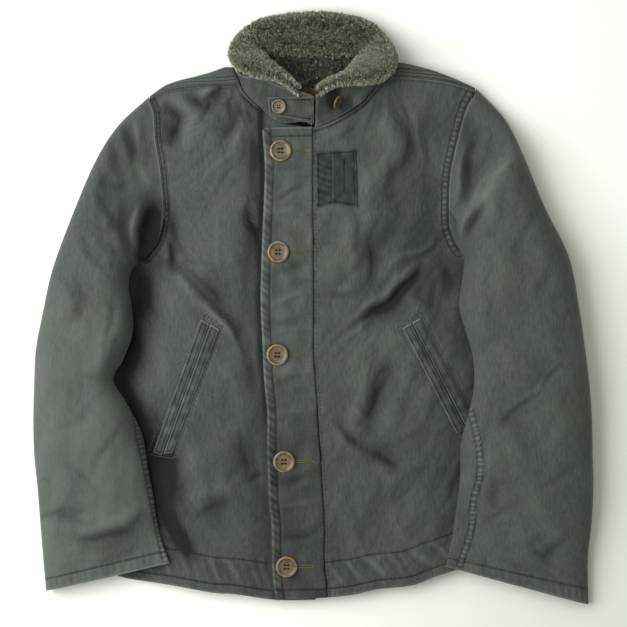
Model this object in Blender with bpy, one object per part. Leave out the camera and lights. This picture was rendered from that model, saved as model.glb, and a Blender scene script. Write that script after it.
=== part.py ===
"""A pile-collared deck jacket, buttoned up and laid flat on its back.

X runs across the jacket to the viewer's right, Y from the hem to the collar and Z up from the
surface that it lies on. The jacket's own right side is at -X. Sizes in the tables are millimetres.
"""

import math

import bpy
import numpy as np
from mathutils import Vector
from mathutils.bvhtree import BVHTree

MM = 0.001

# Cloth thicknesses, in millimetres
CLOTH = 3.0
PLACKET = 3.5
COLLAR_CLOTH = 2.5
TAB = 2.0
WELT = 1.8
PATCH = 1.0
LINING = 4.0
LABEL = 0.8

# Gaps, in millimetres
SEAM_GAP = 0.3
LYING_GAP = 0.6
BUTTON_GAP = 0.2
UNDER_PLACKET_GAP = 0.8
SLEEVE_CLEARANCE = 3.6

# Where the box's middle lies in the tables' frame, which puts the origin under the jacket's centre
CENTRE = (-0.6, -0.3)

SIDE_ROWS = 16
ARMHOLE_ROWS = 12
NECK_COLUMNS = 6
SHOULDER_COLUMNS = 6
NECK_COLUMN_SHARE = 0.42
SLEEVE_STATIONS = 22

# Outlines in plan, x and y. Armholes run from the shoulder seam down to the underarm,
# and side seams from the underarm down to the hem.
ARMHOLE = {
    "right": [(-198, 251), (-192, 235), (-190, 204), (-185, 173), (-182, 143), (-181, 114), (-187, 84), (-202, 61)],
    "left": [(194, 261), (182, 238), (172, 202), (164, 166), (162, 130), (163, 100), (169, 82), (176, 70)],
}
SIDE = {
    "right": [(-202, 61), (-226, 48), (-242, 22), (-252, -20), (-257, -86), (-254, -170), (-250, -254), (-245, -318)],
    "left": [(176, 70), (197, 55), (216, 28), (229, -14), (238, -86), (241, -170), (241, -254), (239, -302)],
}
HEM = {
    "right": [(-245, -318), (-229, -326), (-173, -334), (-122, -343), (-94, -345), (-46, -352), (2, -352)],
    "left": [(17, -349), (50, -345), (76, -339), (119, -334), (148, -323), (199, -308), (239, -302)],
}
NECKLINE = {
    "right": [(-14, 218), (-34, 221), (-49, 228), (-65, 242), (-82, 258), (-89, 269)],
    "left": [(-1, 216), (18, 222), (38, 233), (58, 248), (74, 266), (86, 278)],
}
SHOULDER_SEAM = {
    "right": [(-89, 269), (-113, 267), (-150, 265.5), (-178, 261), (-198, 251)],
    "left": [(86, 278), (112, 277), (151, 273), (178, 267), (194, 261)],
}
BACK_NECK = [(-89, 269), (-83, 286), (-66, 298), (-40, 301), (0, 301), (40, 301), (64, 298), (79, 290), (86, 278)]
PLACKET_EDGE = [(-62, 213), (-59, 164), (-62, 82), (-64, 10), (-62, -36), (-60, -82), (-56, -128), (-56, -174),
                (-54, -230), (-51, -263), (-50, -319), (-46, -352)]
PLACKET_SEAM = [(-1, 216), (-1, 130), (0, 10), (0, -52), (4, -110), (6, -143), (10, -206), (13, -263), (13, -305),
                (17, -349)]
# How far the back rolls over each shoulder past its seam, from the neck to the armhole
SHOULDER_ROLL = {
    "right": [5, 22, 23, 17, 12.5, 10, 7.5, 4.5],
    "left": [4, 17, 18.5, 16, 13, 9, 6, 4.5],
}
# How far the sleeve's cap runs past the shoulder seam, round the roll
CAP_TIP = 4.0

# The fronts' outer surface: its height along the middle and at the sides, and the width of the
# slope between them, at each y
FRONT_COLUMNS = ("y", "crown", "edge", "slope")
FRONT_ROWS = [
    (-360, 17, 6.3, 115),
    (-320, 22, 6.3, 118),
    (-250, 33, 6.3, 120),
    (-150, 42, 6.3, 125),
    (-50, 46, 6.3, 125),
    (30, 48, 6.3, 115),
    (70, 49, 6.3, 100),
    (90, 49, 8, 95),
    (108, 49, 15, 90),
    (130, 49, 25, 85),
    (160, 48, 33, 75),
    (200, 45, 32, 65),
    (230, 40, 27, 58),
    (262, 30, 21, 50),
    (300, 24, 18, 50),
]

# Creases pressed into the fronts: start, end, half width and depth. A negative depth is a ridge.
CREASE_COLUMNS = ("x0", "y0", "x1", "y1", "width", "depth")
FRONT_CREASES = [
    (-190, 78, -150, 22, 16, 5.0),
    (-150, 22, -92, -26, 15, 4.5),
    (-170, 250, -174, 196, 15, 5.0),
    (-104, 262, -92, 224, 12, 3.0),
    (132, 66, 70, -6, 17, 7.0),
    (158, 60, 152, 2, 14, 4.0),
    (100, 92, 36, 30, 18, 4.0),
    (30, -134, 104, -194, 15, 4.5),
    (88, -80, 66, -150, 18, 4.0),
    (86, 252, 78, 198, 14, 3.5),
    (-150, -190, -96, -262, 20, 3.0),
    (120, -212, 60, -280, 20, 3.0),
]

# Sleeves: the outer and inner edge in plan, and the height, from the armhole to the cuff
SLEEVE_COLUMNS = ("outer_x", "outer_y", "inner_x", "inner_y", "height")
SLEEVE_ROWS = {
    "right": [
        (-198, 251, -202, 61, 34),
        (-235, 221, -212, 54, 46),
        (-262, 178, -220, 44, 58),
        (-290, 112, -223, 26, 68),
        (-314, 46, -219, 2, 72),
        (-326, -8, -218, -30, 72),
        (-334, -50, -229, -62, 72),
        (-336, -92, -241, -86, 72),
        (-337, -134, -226, -113, 72),
        (-336, -176, -207, -150, 70),
        (-332, -218, -200, -190, 64),
        (-329, -260, -193, -226, 55),
        (-326, -302, -187, -266, 43),
        (-323, -341, -174, -307, 30),
    ],
    "left": [
        (194, 261, 176, 70, 34),
        (229, 229, 181, 62, 46),
        (250, 188, 180, 47, 56),
        (277, 122, 177, 26, 64),
        (306, 62, 174, 2, 67),
        (318, 4, 181, -24, 67),
        (325, -44, 191, -60, 66),
        (331, -92, 192, -96, 64),
        (334, -134, 185, -128, 62),
        (335, -176, 176, -164, 59),
        (336, -218, 175, -206, 54),
        (334, -260, 170, -245, 46),
        (330, -302, 165, -280, 36),
        (331, -358, 158, -311, 25),
    ],
}
SLEEVE_CREASES = {
    "right": [
        (-238, 222, -214, 168, 9, -4.5),
        (-222, 214, -206, 150, 9, 4.5),
        (-256, 164, -240, 118, 13, 5.0),
        (-194, 126, -205, 58, 12, 15.0),
        (-246, -92, -296, -110, 14, 6.0),
        (-322, -258, -262, -242, 10, 4.0),
    ],
    "left": [
        (240, 182, 190, 108, 9, -4.5),
        (198, 224, 180, 120, 12, 5.5),
        (204, 126, 180, 82, 9, 6.0),
        (304, -52, 224, -144, 13, 5.0),
        (262, 118, 306, 96, 10, 3.0),
    ],
}

# Collar cloth: its neck edge and its upper edge, which the pile covers, from the jacket's right front
# round the back to its left front. z is that of its outer face, which lies on the table at the back.
COLLAR_COLUMNS = ("base_x", "base_y", "base_z", "top_x", "top_y", "top_z")
COLLAR_ROWS = [
    (-2, 219, 46, -2.5, 254, 52.5),
    (-14, 223, 46, -14, 258, 53),
    (-34, 221, 46, -32, 262, 54),
    (-49, 227, 46, -50, 270, 53),
    (-65, 241, 44, -67, 276, 48),
    (-82, 258, 40, -84, 278, 44),
    (-88, 270, 34, -93, 285, 39),
    (-87, 284, 18, -94, 300, 25),
    (-79, 294, 4, -87, 317, 8),
    (-60, 301, 0, -74, 334, 3),
    (-30, 302, 0, -36, 346, 3.5),
    (0, 302, 0, 0, 349, 3.5),
    (30, 302, 0, 36, 346, 3.5),
    (56, 301, 0, 70, 334, 3),
    (75, 294, 4, 86, 318, 10),
    (83, 286, 18, 93, 302, 24),
    (85, 279, 34, 93, 291, 38),
    (74, 266, 40, 82, 277, 44),
    (58, 248, 44, 66, 272, 48),
    (38, 233, 46, 46, 270, 51),
    (18, 222, 46.5, 24, 266, 53),
    (1.5, 216, 46.5, 2.5, 254, 54),
]

# The collar's pile, from the jacket's right front round the back to its left front: each row is a
# rounded section between an outer and an inner edge, its underside and its thickness at each
PILE_COLUMNS = ("outer_x", "outer_y", "inner_x", "inner_y", "low_out", "low_in", "thick_out", "thick_in")
PILE_ROWS = [
    (-19, 256, -20, 262, 56, 56, 8, 8),
    (-34, 262, -29, 272, 56.5, 55, 12, 12),
    (-55, 267, -39, 283, 55.5, 48, 17, 18),
    (-79, 271, -49, 296, 49.5, 38, 23, 24),
    (-95, 283, -56, 303, 41, 26, 29, 30),
    (-102, 300, -60, 307, 30, 12, 34, 28),
    (-98, 319, -59, 311, 16, 4, 38, 18),
    (-86, 335, -52, 309, 8, 3.4, 31, 12),
    (-65, 349, -38, 304, 6.8, 3.4, 24, 11),
    (-35, 355, -20, 302, 7.2, 3.4, 23, 10),
    (0, 358, 0, 301, 7.4, 3.4, 23, 10),
    (37, 355, 19, 301, 7.2, 3.4, 23, 10),
    (68, 346, 36, 302, 6.6, 3.4, 24, 11),
    (84, 331, 46, 303, 8, 4, 28, 14),
    (95, 315, 50, 303, 15, 6, 33, 20),
    (100, 300, 50, 300, 26, 12, 34, 26),
    (97, 286, 45, 293, 40, 24, 28, 27),
    (86, 275, 39, 286, 46, 36, 24, 24),
    (71, 269, 33, 280, 50.5, 45, 20, 20),
    (53, 268, 26, 275, 53, 50, 17, 17),
    (34, 266, 18, 270, 54.5, 53, 14, 14),
    (16, 261, 11, 265, 55, 55, 11, 11),
    (5, 256.5, 6, 260, 55, 55, 8, 8),
]
# The sharp fold where the collar's right front roll overhangs its back
PILE_CREASES = [
    (-50, 302, -72, 338, 9, 11.0),
    (48, 296, 62, 318, 10, 5.0),
]

# Pieces that lie on a panel: corners in plan, anticlockwise from the lower left
WELTS = {
    "pocket_welt_right_front": [(-181.5, -176), (-170, -174), (-113, -26), (-124, -19)],
    "pocket_welt_right_back": [(-194, -174), (-183, -177.5), (-125, -19.5), (-135, -13)],
    "pocket_welt_left_front": [(172, -152), (183, -146), (116, -18), (106, -24)],
    "pocket_welt_left_back": [(184.5, -145.5), (190, -129), (127, -12), (117.5, -17.5)],
}
CHEST_PATCH = [(3, 119), (52, 121), (50, 190), (2, 187)]
CHIN_TAB = [(-53, 231), (0, 221), (0, 253), (-56, 252)]
NECK_LINING = [(-58, 190), (58, 190), (50, 296), (-50, 296)]
NECK_LABEL = [(-17, 236), (7, 236), (6, 265), (-16, 265)]

# Front buttons and the two on the collar: centre in plan
FRONT_BUTTONS = [(-40, 188), (-43, 67), (-44, -56), (-36, -184), (-33, -311)]
TAB_BUTTON = (-42, 241)
SPARE_BUTTON = (27, 246)
BUTTON_RADIUS = 13.0
SMALL_BUTTON_RADIUS = 8.8
SPARE_BUTTON_TILT = math.radians(68)
# A button's turned outline, as shares of its radius, from its underside's middle round its rim
BUTTON_PROFILE = [(0.62, 0.0), (0.94, 0.07), (1.0, 0.18), (0.95, 0.29), (0.84, 0.33), (0.74, 0.29), (0.64, 0.22)]
BUTTON_FACE_HEIGHT = 0.2
BUTTON_SEGMENTS = 18
HOLE_RADIUS = 0.085
HOLE_SPREAD = 0.2
HOLE_SIDES = 5

COLOURS = {
    "cloth": ((0.082, 0.095, 0.089), 0.9),
    "patch": ((0.045, 0.058, 0.056), 0.9),
    "pile": ((0.086, 0.086, 0.07), 1.0),
    "lining": ((0.05, 0.05, 0.044), 1.0),
    "label": ((0.32, 0.2, 0.07), 0.8),
    "button": ((0.24, 0.14, 0.07), 0.35),
}


# Curves and grids

def smooth(t):
    """0 below 0, 1 above 1, and a soft step between."""
    t = np.clip(t, 0.0, 1.0)
    return t * t * (3 - 2 * t)


def dense_curve(points, per_span=12):
    """A Catmull-Rom curve through the points, finely sampled, with the index of each at its sample."""
    p = np.array(points, float)
    p = np.vstack([2 * p[0] - p[1], p, 2 * p[-1] - p[-2]])
    made = []
    for i in range(1, len(p) - 2):
        for t in np.arange(per_span) / per_span:
            made.append(0.5 * (2 * p[i] + (p[i + 1] - p[i - 1]) * t
                               + (2 * p[i - 1] - 5 * p[i] + 4 * p[i + 1] - p[i + 2]) * t ** 2
                               + (3 * p[i] - p[i - 1] - 3 * p[i + 1] + p[i + 2]) * t ** 3))
    made.append(p[-2])
    return np.array(made)


def along(points, shares):
    """Points of the smooth curve at these shares of its length."""
    fine = dense_curve(points)
    length = np.concatenate([[0], np.cumsum(np.linalg.norm(np.diff(fine, axis=0), axis=1))])
    at = np.asarray(shares) * length[-1]
    return np.stack([np.interp(at, length, fine[:, k]) for k in range(fine.shape[1])], axis=1)


def evenly(points, count):
    return along(points, np.linspace(0, 1, count + 1))


def at_y(points, y):
    """x of a curve that runs steadily in y."""
    fine = dense_curve(points)
    order = np.argsort(fine[:, 1])
    return np.interp(y, fine[order, 1], fine[order, 0])


def table(rows, position):
    """Every column of a table of rows at a position from 0, its first row, to 1, its last."""
    fine = dense_curve(rows)
    return np.stack([np.interp(np.asarray(position) * (len(fine) - 1), np.arange(len(fine)), fine[:, k])
                     for k in range(fine.shape[1])], axis=-1)


def shares_of(points):
    length = np.concatenate([[0], np.cumsum(np.linalg.norm(np.diff(points, axis=0), axis=1))])
    return length / length[-1]


def patch_between(bottom, top, left, right):
    """A grid of plan points that fills four boundary rows: [row from bottom to top, column from left to right]."""
    v = (0.5 * (shares_of(left) + shares_of(right)))[:, None, None]
    u = (0.5 * (shares_of(bottom) + shares_of(top)))[None, :, None]
    sides = (1 - u) * left[:, None] + u * right[:, None]
    ends = (1 - v) * bottom[None] + v * top[None]
    corners = ((1 - v) * ((1 - u) * bottom[0] + u * bottom[-1]) + v * ((1 - u) * top[0] + u * top[-1]))
    return sides + ends - corners


def quad_patch(corners, rows, columns):
    """A grid of plan points in four corners given anticlockwise from the lower left."""
    a, b, c, d = (np.array(p, float) for p in corners)
    v = np.linspace(0, 1, rows + 1)[:, None, None]
    u = np.linspace(0, 1, columns + 1)[None, :, None]
    return (1 - v) * ((1 - u) * a + u * b) + v * ((1 - u) * d + u * c)


# The fronts' shape

def crease_depth(x, y, creases):
    """How far the creases lower a surface at these plan points. Each has a soft lip on both sides."""
    total = np.zeros(np.broadcast(x, y).shape)
    for row in creases:
        c = dict(zip(CREASE_COLUMNS, row))
        dx, dy = c["x1"] - c["x0"], c["y1"] - c["y0"]
        share = ((x - c["x0"]) * dx + (y - c["y0"]) * dy) / (dx * dx + dy * dy)
        held = np.clip(share, 0, 1)
        away = np.hypot(x - c["x0"] - held * dx, y - c["y0"] - held * dy) / c["width"]
        fade = 0.35 + 0.65 * np.sin(math.pi * held)
        total += c["depth"] * fade * (1 - 0.7 * away ** 2) * np.exp(-away ** 2)
    return total


def edge_x(y, hand):
    """x of the armhole and side seam at a height."""
    return at_y(ARMHOLE[hand] + SIDE[hand][1:], y)


def front_height(x, y):
    """z of the fronts' and the placket's outer surface."""
    x, y = np.asarray(x, float), np.asarray(y, float)
    rows = np.array(FRONT_ROWS, float)
    crown, edge, slope = (np.interp(y, rows[:, 0], rows[:, k]) for k in (1, 2, 3))
    inside = np.minimum(x - edge_x(y, "right"), edge_x(y, "left") - x)
    z = edge + (crown - edge) * smooth(inside / slope)
    near_middle = smooth((np.abs(x + 24) - 34) / 26)
    off_edge = smooth(inside / 24)
    z = z - crease_depth(x, y, FRONT_CREASES) * near_middle * off_edge
    return np.maximum(z, edge)


def right_front_height(x, y):
    """The jacket's right front lies lower where it goes under the placket, with a dip beside its edge."""
    into = x - at_y(PLACKET_EDGE, np.clip(y, PLACKET_EDGE[-1][1], PLACKET_EDGE[0][1]))
    drop = (PLACKET + UNDER_PLACKET_GAP) * smooth((into + 34) / 30)
    dip = 3.5 * np.exp(-((into + 12) / 15) ** 2) * smooth((y + 345) / 60) * smooth((222 - y) / 40)
    return np.maximum(front_height(x, y) - drop - dip, 6.3)


# Solids from grids

def facing_out(points, faces):
    """The same faces, turned over where they enclose their solid with their backs."""
    volume = 0.0
    for face in faces:
        for b, c in zip(face[1:], face[2:]):
            volume += points[face[0]] @ np.cross(points[b], points[c])
    return faces if volume > 0 else [face[::-1] for face in faces]


def mesh_object(name, points, faces, look):
    """An object from points in millimetres of the tables' frame, moved to the jacket's own origin."""
    points = (np.asarray(points) - np.array([CENTRE[0], CENTRE[1], 0.0])) * MM
    mesh = bpy.data.meshes.new(name)
    mesh.from_pydata(points.tolist(), [], facing_out(points, faces))
    mesh.validate()
    mesh.update()
    mesh.shade_smooth()
    mesh.set_sharp_from_angle(angle=math.radians(50))
    mesh.materials.append(material(look))
    made = bpy.data.objects.new(name, mesh)
    bpy.context.scene.collection.objects.link(made)
    return made


def wall_faces(rows, columns, skip=lambda i, j: False):
    """Faces of a wall whose upper points come first and whose lower points follow, both [row, column].

    The rim is closed round every quad that has no neighbour, so a grid with quads left out works too.
    """
    lower = rows * columns
    kept = [(i, j) for i in range(rows - 1) for j in range(columns - 1) if not skip(i, j)]
    faces, edges = [], {}
    for i, j in kept:
        loop = [i * columns + j, i * columns + j + 1, (i + 1) * columns + j + 1, (i + 1) * columns + j]
        faces.append(loop)
        faces.append([k + lower for k in reversed(loop)])
        for a, b in zip(loop, loop[1:] + loop[:1]):
            edges[(a, b)] = True
    for a, b in edges:
        if (b, a) not in edges:
            faces.append([b, a, a + lower, b + lower])
    return faces


def wall(name, upper, lower, look, skip=lambda i, j: False):
    """A closed sheet between two grids of points. Row 0 to the last runs along +Y, columns along +X."""
    rows, columns = upper.shape[:2]
    points = np.concatenate([upper.reshape(-1, 3), lower.reshape(-1, 3)])
    faces = wall_faces(rows, columns, skip)
    used = sorted({k for face in faces for k in face})
    index = {k: n for n, k in enumerate(used)}
    return mesh_object(name, points[used], [[index[k] for k in face] for face in faces], look)


def tube(name, outer, inner, look):
    """A tube with a wall, open at both ends: outer and inner are [station, point round the loop]."""
    stations, around = outer.shape[:2]
    n = stations * around
    faces = []
    for i in range(stations - 1):
        for j in range(around):
            k = (j + 1) % around
            loop = [i * around + j, i * around + k, (i + 1) * around + k, (i + 1) * around + j]
            faces.append(loop)
            faces.append([p + n for p in reversed(loop)])
    last = (stations - 1) * around
    for j in range(around):
        k = (j + 1) % around
        faces.append([k, j, j + n, k + n])
        faces.append([last + j, last + k, last + k + n, last + j + n])
    points = np.concatenate([outer.reshape(-1, 3), inner.reshape(-1, 3)])
    return mesh_object(name, points, faces, look)


def loft(name, sections, look):
    """A solid through closed sections, capped at both ends."""
    stations, around = sections.shape[:2]
    faces = []
    for i in range(stations - 1):
        for j in range(around):
            k = (j + 1) % around
            faces.append([i * around + j, i * around + k, (i + 1) * around + k, (i + 1) * around + j])
    faces.append(list(reversed(range(around))))
    faces.append([(stations - 1) * around + j for j in range(around)])
    return mesh_object(name, sections.reshape(-1, 3), faces, look)


def upward_normals(grid):
    """Unit normals of a grid of points, turned upward."""
    normal = np.cross(np.gradient(grid, axis=1), np.gradient(grid, axis=0))
    normal /= np.linalg.norm(normal, axis=-1, keepdims=True)
    return normal * np.where(normal[..., 2:] < 0, -1, 1)


def thickened_down(plan, z, thickness, lowest):
    """Upper and lower points of a sheet whose wall is as thick across its slope as on the level."""
    upper = np.concatenate([plan, z[..., None]], axis=-1)
    lower = upper.copy()
    lower[..., 2] -= thickness / np.clip(upward_normals(upper)[..., 2], 0.6, 1)
    lower[..., 2] = np.maximum(lower[..., 2], lowest)
    return upper, lower


def tree_of(obj):
    """The object's surface, to find heights on it."""
    points = [v.co.copy() for v in obj.data.vertices]
    return BVHTree.FromPolygons(points, [p.vertices[:] for p in obj.data.polygons])


def height_on(tree, x, y):
    """A surface's height above a plan point, in millimetres, or NaN beside it."""
    above = Vector(((x - CENTRE[0]) * MM, (y - CENTRE[1]) * MM, 1.0))
    hit = tree.ray_cast(above, Vector((0, 0, -1)))[0]
    return math.nan if hit is None else hit.z / MM


def max_height(tree, x, y, reach):
    """The highest point of a surface within reach of a plan point, or NaN where there is none."""
    ring = [(0, 0), (reach, 0), (-reach, 0), (0, reach), (0, -reach)]
    found = [height_on(tree, x + dx, y + dy) for dx, dy in ring]
    found = [z for z in found if not math.isnan(z)]
    return max(found) if found else math.nan


def laid_on(name, corners, tree, thickness, look, rows, columns):
    """A thin piece that follows the panel it lies on, made from that panel's own surface."""
    plan = quad_patch(corners, rows, columns)
    low = np.zeros(plan.shape[:2])
    for i in range(rows + 1):
        for j in range(columns + 1):
            x, y = plan[i, j]
            found = max_height(tree, x, y, 2.0)
            low[i, j] = low[i, j - 1] if math.isnan(found) else found + LYING_GAP
    lower = np.concatenate([plan, low[..., None]], axis=-1)
    upper = lower + np.array([0, 0, thickness])
    return wall(name, upper, lower, look)


# The jacket's pieces

def side_and_armhole(hand, side_rows=SIDE_ROWS):
    """Plan points up one side: the side seam from the hem, then the armhole to the shoulder seam."""
    side = evenly(SIDE[hand][::-1], side_rows)
    armhole = along(ARMHOLE[hand][::-1], armhole_shares())
    return np.vstack([side, armhole[1:]])


def armhole_shares():
    """Points crowd towards both ends of the armhole, where it turns."""
    return 0.5 - 0.5 * np.cos(np.linspace(0, math.pi, ARMHOLE_ROWS + 1))


def middle_rows(points, hand):
    """Plan points up the middle of a front, with a row at the underarm's height."""
    underarm = ARMHOLE[hand][-1][1]
    ys = np.concatenate([np.linspace(points[-1][1], underarm, SIDE_ROWS + 1),
                         np.linspace(underarm, points[0][1], ARMHOLE_ROWS + 1)[1:]])
    return np.stack([at_y(points, ys), ys], axis=1)


def neck_and_shoulder(hand):
    neck = evenly(NECKLINE[hand], NECK_COLUMNS)
    shoulder = evenly(SHOULDER_SEAM[hand], SHOULDER_COLUMNS)
    return np.vstack([neck, shoulder[1:]])


def build_fronts():
    columns = NECK_COLUMNS + SHOULDER_COLUMNS
    seam = middle_rows(PLACKET_SEAM, "left")
    left = patch_between(evenly(HEM["left"], columns), neck_and_shoulder("left"),
                         seam, side_and_armhole("left"))
    over_back = CLOTH + SEAM_GAP
    upper, lower = thickened_down(left, front_height(left[..., 0], left[..., 1]), CLOTH, over_back)
    front_left = wall("front_left", upper, lower, "cloth")

    stand = middle_rows([(-14, 218), (-14, 100), (-13, 0), (-9, -120), (-3, -220), (2, -352)], "right")
    right = patch_between(evenly(HEM["right"], columns), neck_and_shoulder("right")[::-1],
                          side_and_armhole("right"), stand)
    upper, lower = thickened_down(right, right_front_height(right[..., 0], right[..., 1]), CLOTH, over_back)
    front_right = wall("front_right", upper, lower, "cloth")
    return front_right, front_left


def build_placket():
    seam = middle_rows(PLACKET_SEAM, "left") - np.array([SEAM_GAP, 0])
    edge = np.stack([at_y(PLACKET_EDGE, seam[:, 1]), seam[:, 1]], axis=1)
    edge[0] = PLACKET_EDGE[-1]
    edge[-1] = PLACKET_EDGE[0]
    columns = 5
    bottom = np.linspace(edge[0], seam[0], columns + 1)
    top = np.linspace(edge[-1], seam[-1], columns + 1)
    plan = patch_between(bottom, top, edge, seam)
    upper, lower = thickened_down(plan, front_height(plan[..., 0], plan[..., 1]), PLACKET, 0)
    return wall("placket", upper, lower, "cloth")


def shoulder_with_neck_column(hand):
    """The shoulder seam from the neck out, with one more column close to the neck, where the roll begins."""
    seam = evenly(SHOULDER_SEAM[hand], SHOULDER_COLUMNS)
    near_neck = seam[0] + (seam[1] - seam[0]) * NECK_COLUMN_SHARE
    return np.vstack([seam[:1], near_neck, seam[1:]])


def build_back():
    """The back lies flat, and rolls over both shoulders to its seams on the front."""
    roll_rows = 6
    side_rows = SIDE_ROWS // 2
    left_side = side_and_armhole("right", side_rows)
    right_side = side_and_armhole("left", side_rows)
    neck_columns = 10
    seam_r = shoulder_with_neck_column("right")[::-1]
    seam_l = shoulder_with_neck_column("left")
    top = np.vstack([seam_r, evenly(BACK_NECK, neck_columns)[1:-1], seam_l])
    columns = len(top) - 1
    inset = np.array([0, 2.0])
    hem = evenly([HEM["right"][0], (-122, -343), (-20, -351), (50, -345), (148, -323), HEM["left"][-1]], columns)
    hem = hem + inset * np.sin(np.linspace(0, math.pi, columns + 1))[:, None]
    plan = patch_between(hem, top, left_side, right_side)
    flat_rows = len(plan)
    low = np.concatenate([plan, np.zeros(plan.shape[:2] + (1,))], axis=-1)
    high = low + np.array([0, 0, CLOTH])

    reach = np.full(columns + 1, 10.0)
    rolled = len(SHOULDER_ROLL["right"])
    reach[:rolled] = SHOULDER_ROLL["right"][::-1]
    reach[-rolled:] = SHOULDER_ROLL["left"]
    height = front_height(top[:, 0], top[:, 1])
    for angle in np.linspace(-90, 90, roll_rows + 1)[1:]:
        c, s = math.cos(math.radians(angle)), math.sin(math.radians(angle))
        y = top[:, 1] + SEAM_GAP + reach * c
        outer = np.stack([top[:, 0], y, 0.5 * height * (1 + s)], axis=1)
        inner_y = top[:, 1] + SEAM_GAP + (reach - CLOTH) * c
        inner = np.stack([top[:, 0], inner_y, CLOTH + (0.5 * height - CLOTH) * (1 + s)], axis=1)
        low = np.concatenate([low, outer[None]])
        high = np.concatenate([high, inner[None]])

    def skip(i, j):
        return i >= flat_rows - 1 and rolled - 1 <= j < columns - rolled + 1

    return wall("back", high, low, "cloth", skip)


def distance_outside(x, y, outline):
    """How far plan points lie outside a closed outline: 0 within it."""
    away = np.full(x.shape, 1e9)
    within = np.zeros(x.shape, bool)
    for a, b in zip(outline, np.roll(outline, -1, axis=0)):
        d = b - a
        t = np.clip(((x - a[0]) * d[0] + (y - a[1]) * d[1]) / max(d @ d, 1e-9), 0, 1)
        away = np.minimum(away, np.hypot(x - a[0] - t * d[0], y - a[1] - t * d[1]))
        crosses = (a[1] > y) != (b[1] > y)
        within ^= crosses & (x < a[0] + (y - a[1]) * d[0] / (d[1] if d[1] else 1e-9))
    return np.where(within, 0.0, away)


def body_outline():
    """The body's outline in plan, from the right armhole round the hem to the left one."""
    return np.vstack([evenly(ARMHOLE["right"], 16), evenly(SIDE["right"], 16), evenly(HEM["right"], 8),
                      evenly(HEM["left"], 8), evenly(SIDE["left"][::-1], 16), evenly(ARMHOLE["left"][::-1], 16)])


def under_sleeve(x, y, clearance):
    """The height that a sleeve's underside keeps to: over the body's edge, and down to the table beside it."""
    away = distance_outside(x, y, body_outline())
    return (front_height(x, y) + clearance) * (1 - smooth((away - 4) / 22))


def sleeve_head(hand):
    """Plan points of the sleeve's head: a tip past the shoulder seam, then the armhole to the underarm."""
    armhole = along(ARMHOLE[hand], armhole_shares())
    past = armhole[0] - armhole[1]
    return np.vstack([armhole[0] + past * CAP_TIP / np.linalg.norm(past), armhole])


def sleeve_loops(hand):
    """Outer and inner loops of a sleeve, each a plump section that rests flat."""
    head = sleeve_head(hand)
    half = len(head) - 1
    rows = [tuple(head[0]) + tuple(head[-1]) + SLEEVE_ROWS[hand][0][4:]] + SLEEVE_ROWS[hand][1:]
    s_half = shares_of(head)
    s = np.concatenate([s_half, s_half[-2:0:-1]])
    is_top = np.arange(len(s)) <= half
    bow_half = head - (head[0] + (head[-1] - head[0]) * s_half[:, None])
    crown_half = front_height(head[:, 0], head[:, 1])
    outward = 1.0 if hand == "left" else -1.0
    loops = {0.0: [], CLOTH: []}
    for t in np.linspace(0, 1, SLEEVE_STATIONS) ** 1.15:
        row = dict(zip(SLEEVE_COLUMNS, table(rows, t)))
        a = np.array([row["outer_x"], row["outer_y"]])
        b = np.array([row["inner_x"], row["inner_y"]])
        length = np.linalg.norm(b - a)
        blunt = 2.3 + 9 * (1 - smooth(t / 0.22))
        rise = smooth(t / 0.16)
        for wall_in in loops:
            share = 0.5 + (s - 0.5) * (1 - 2 * wall_in / length)
            bow = np.stack([np.interp(share, s_half, bow_half[:, k]) for k in (0, 1)], axis=1)
            plan = a + (b - a) * share[:, None] + bow * (1 - smooth(t / 0.12))
            plan[:, 0] += outward * SEAM_GAP
            x, y = plan[:, 0], plan[:, 1]
            over_body = np.maximum(smooth((share - 0.66) / 0.14), smooth((t - 0.06) / 0.1))
            floor = under_sleeve(x, y, 1.2 + (SLEEVE_CLEARANCE - 1.2) * smooth(t / 0.1)) * over_body
            crown = np.interp(share, s_half, crown_half)
            top = crown * (1 - rise) + row["height"] * rise
            top = top - crease_depth(x, y, SLEEVE_CREASES[hand]) * smooth(t / 0.05)
            middle = np.maximum(0.42 * top, floor + CLOTH + 0.4)
            top = np.maximum(top, middle + CLOTH + 0.4) - wall_in
            swell = (1 - np.abs(2 * s - 1) ** blunt) ** 0.5
            belly = np.minimum(1, 1.05 * (1 - np.abs(2 * s - 1) ** 4) ** 0.25)
            upper = middle + (top - middle) * swell
            lower = np.maximum(middle * (1 - belly), np.minimum(floor, middle))
            lower = np.minimum(lower + wall_in, middle)
            loops[wall_in].append(np.stack([x, y, np.where(is_top, upper, lower)], axis=1))
    return np.array(loops[0.0]), np.array(loops[CLOTH])


def build_sleeve(hand):
    outer, inner = sleeve_loops(hand)
    return tube("sleeve_" + hand, outer, inner, "cloth")


def build_collar_cloth():
    columns = 5
    stations = 44
    rows = table(COLLAR_ROWS, np.linspace(0, 1, stations + 1))
    share = np.linspace(0, 1, columns + 1)[None, :, None]
    base, top = rows[:, None, 0:3], rows[:, None, 3:6]
    outside = base + (top - base) * share
    outside[..., 2] = np.maximum(outside[..., 2], 0)
    inward = np.cross(np.gradient(outside, axis=0), np.gradient(outside, axis=1))
    inward /= np.linalg.norm(inward, axis=-1, keepdims=True)
    return wall("collar_cloth", outside, outside + COLLAR_CLOTH * inward, "cloth")


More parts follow.
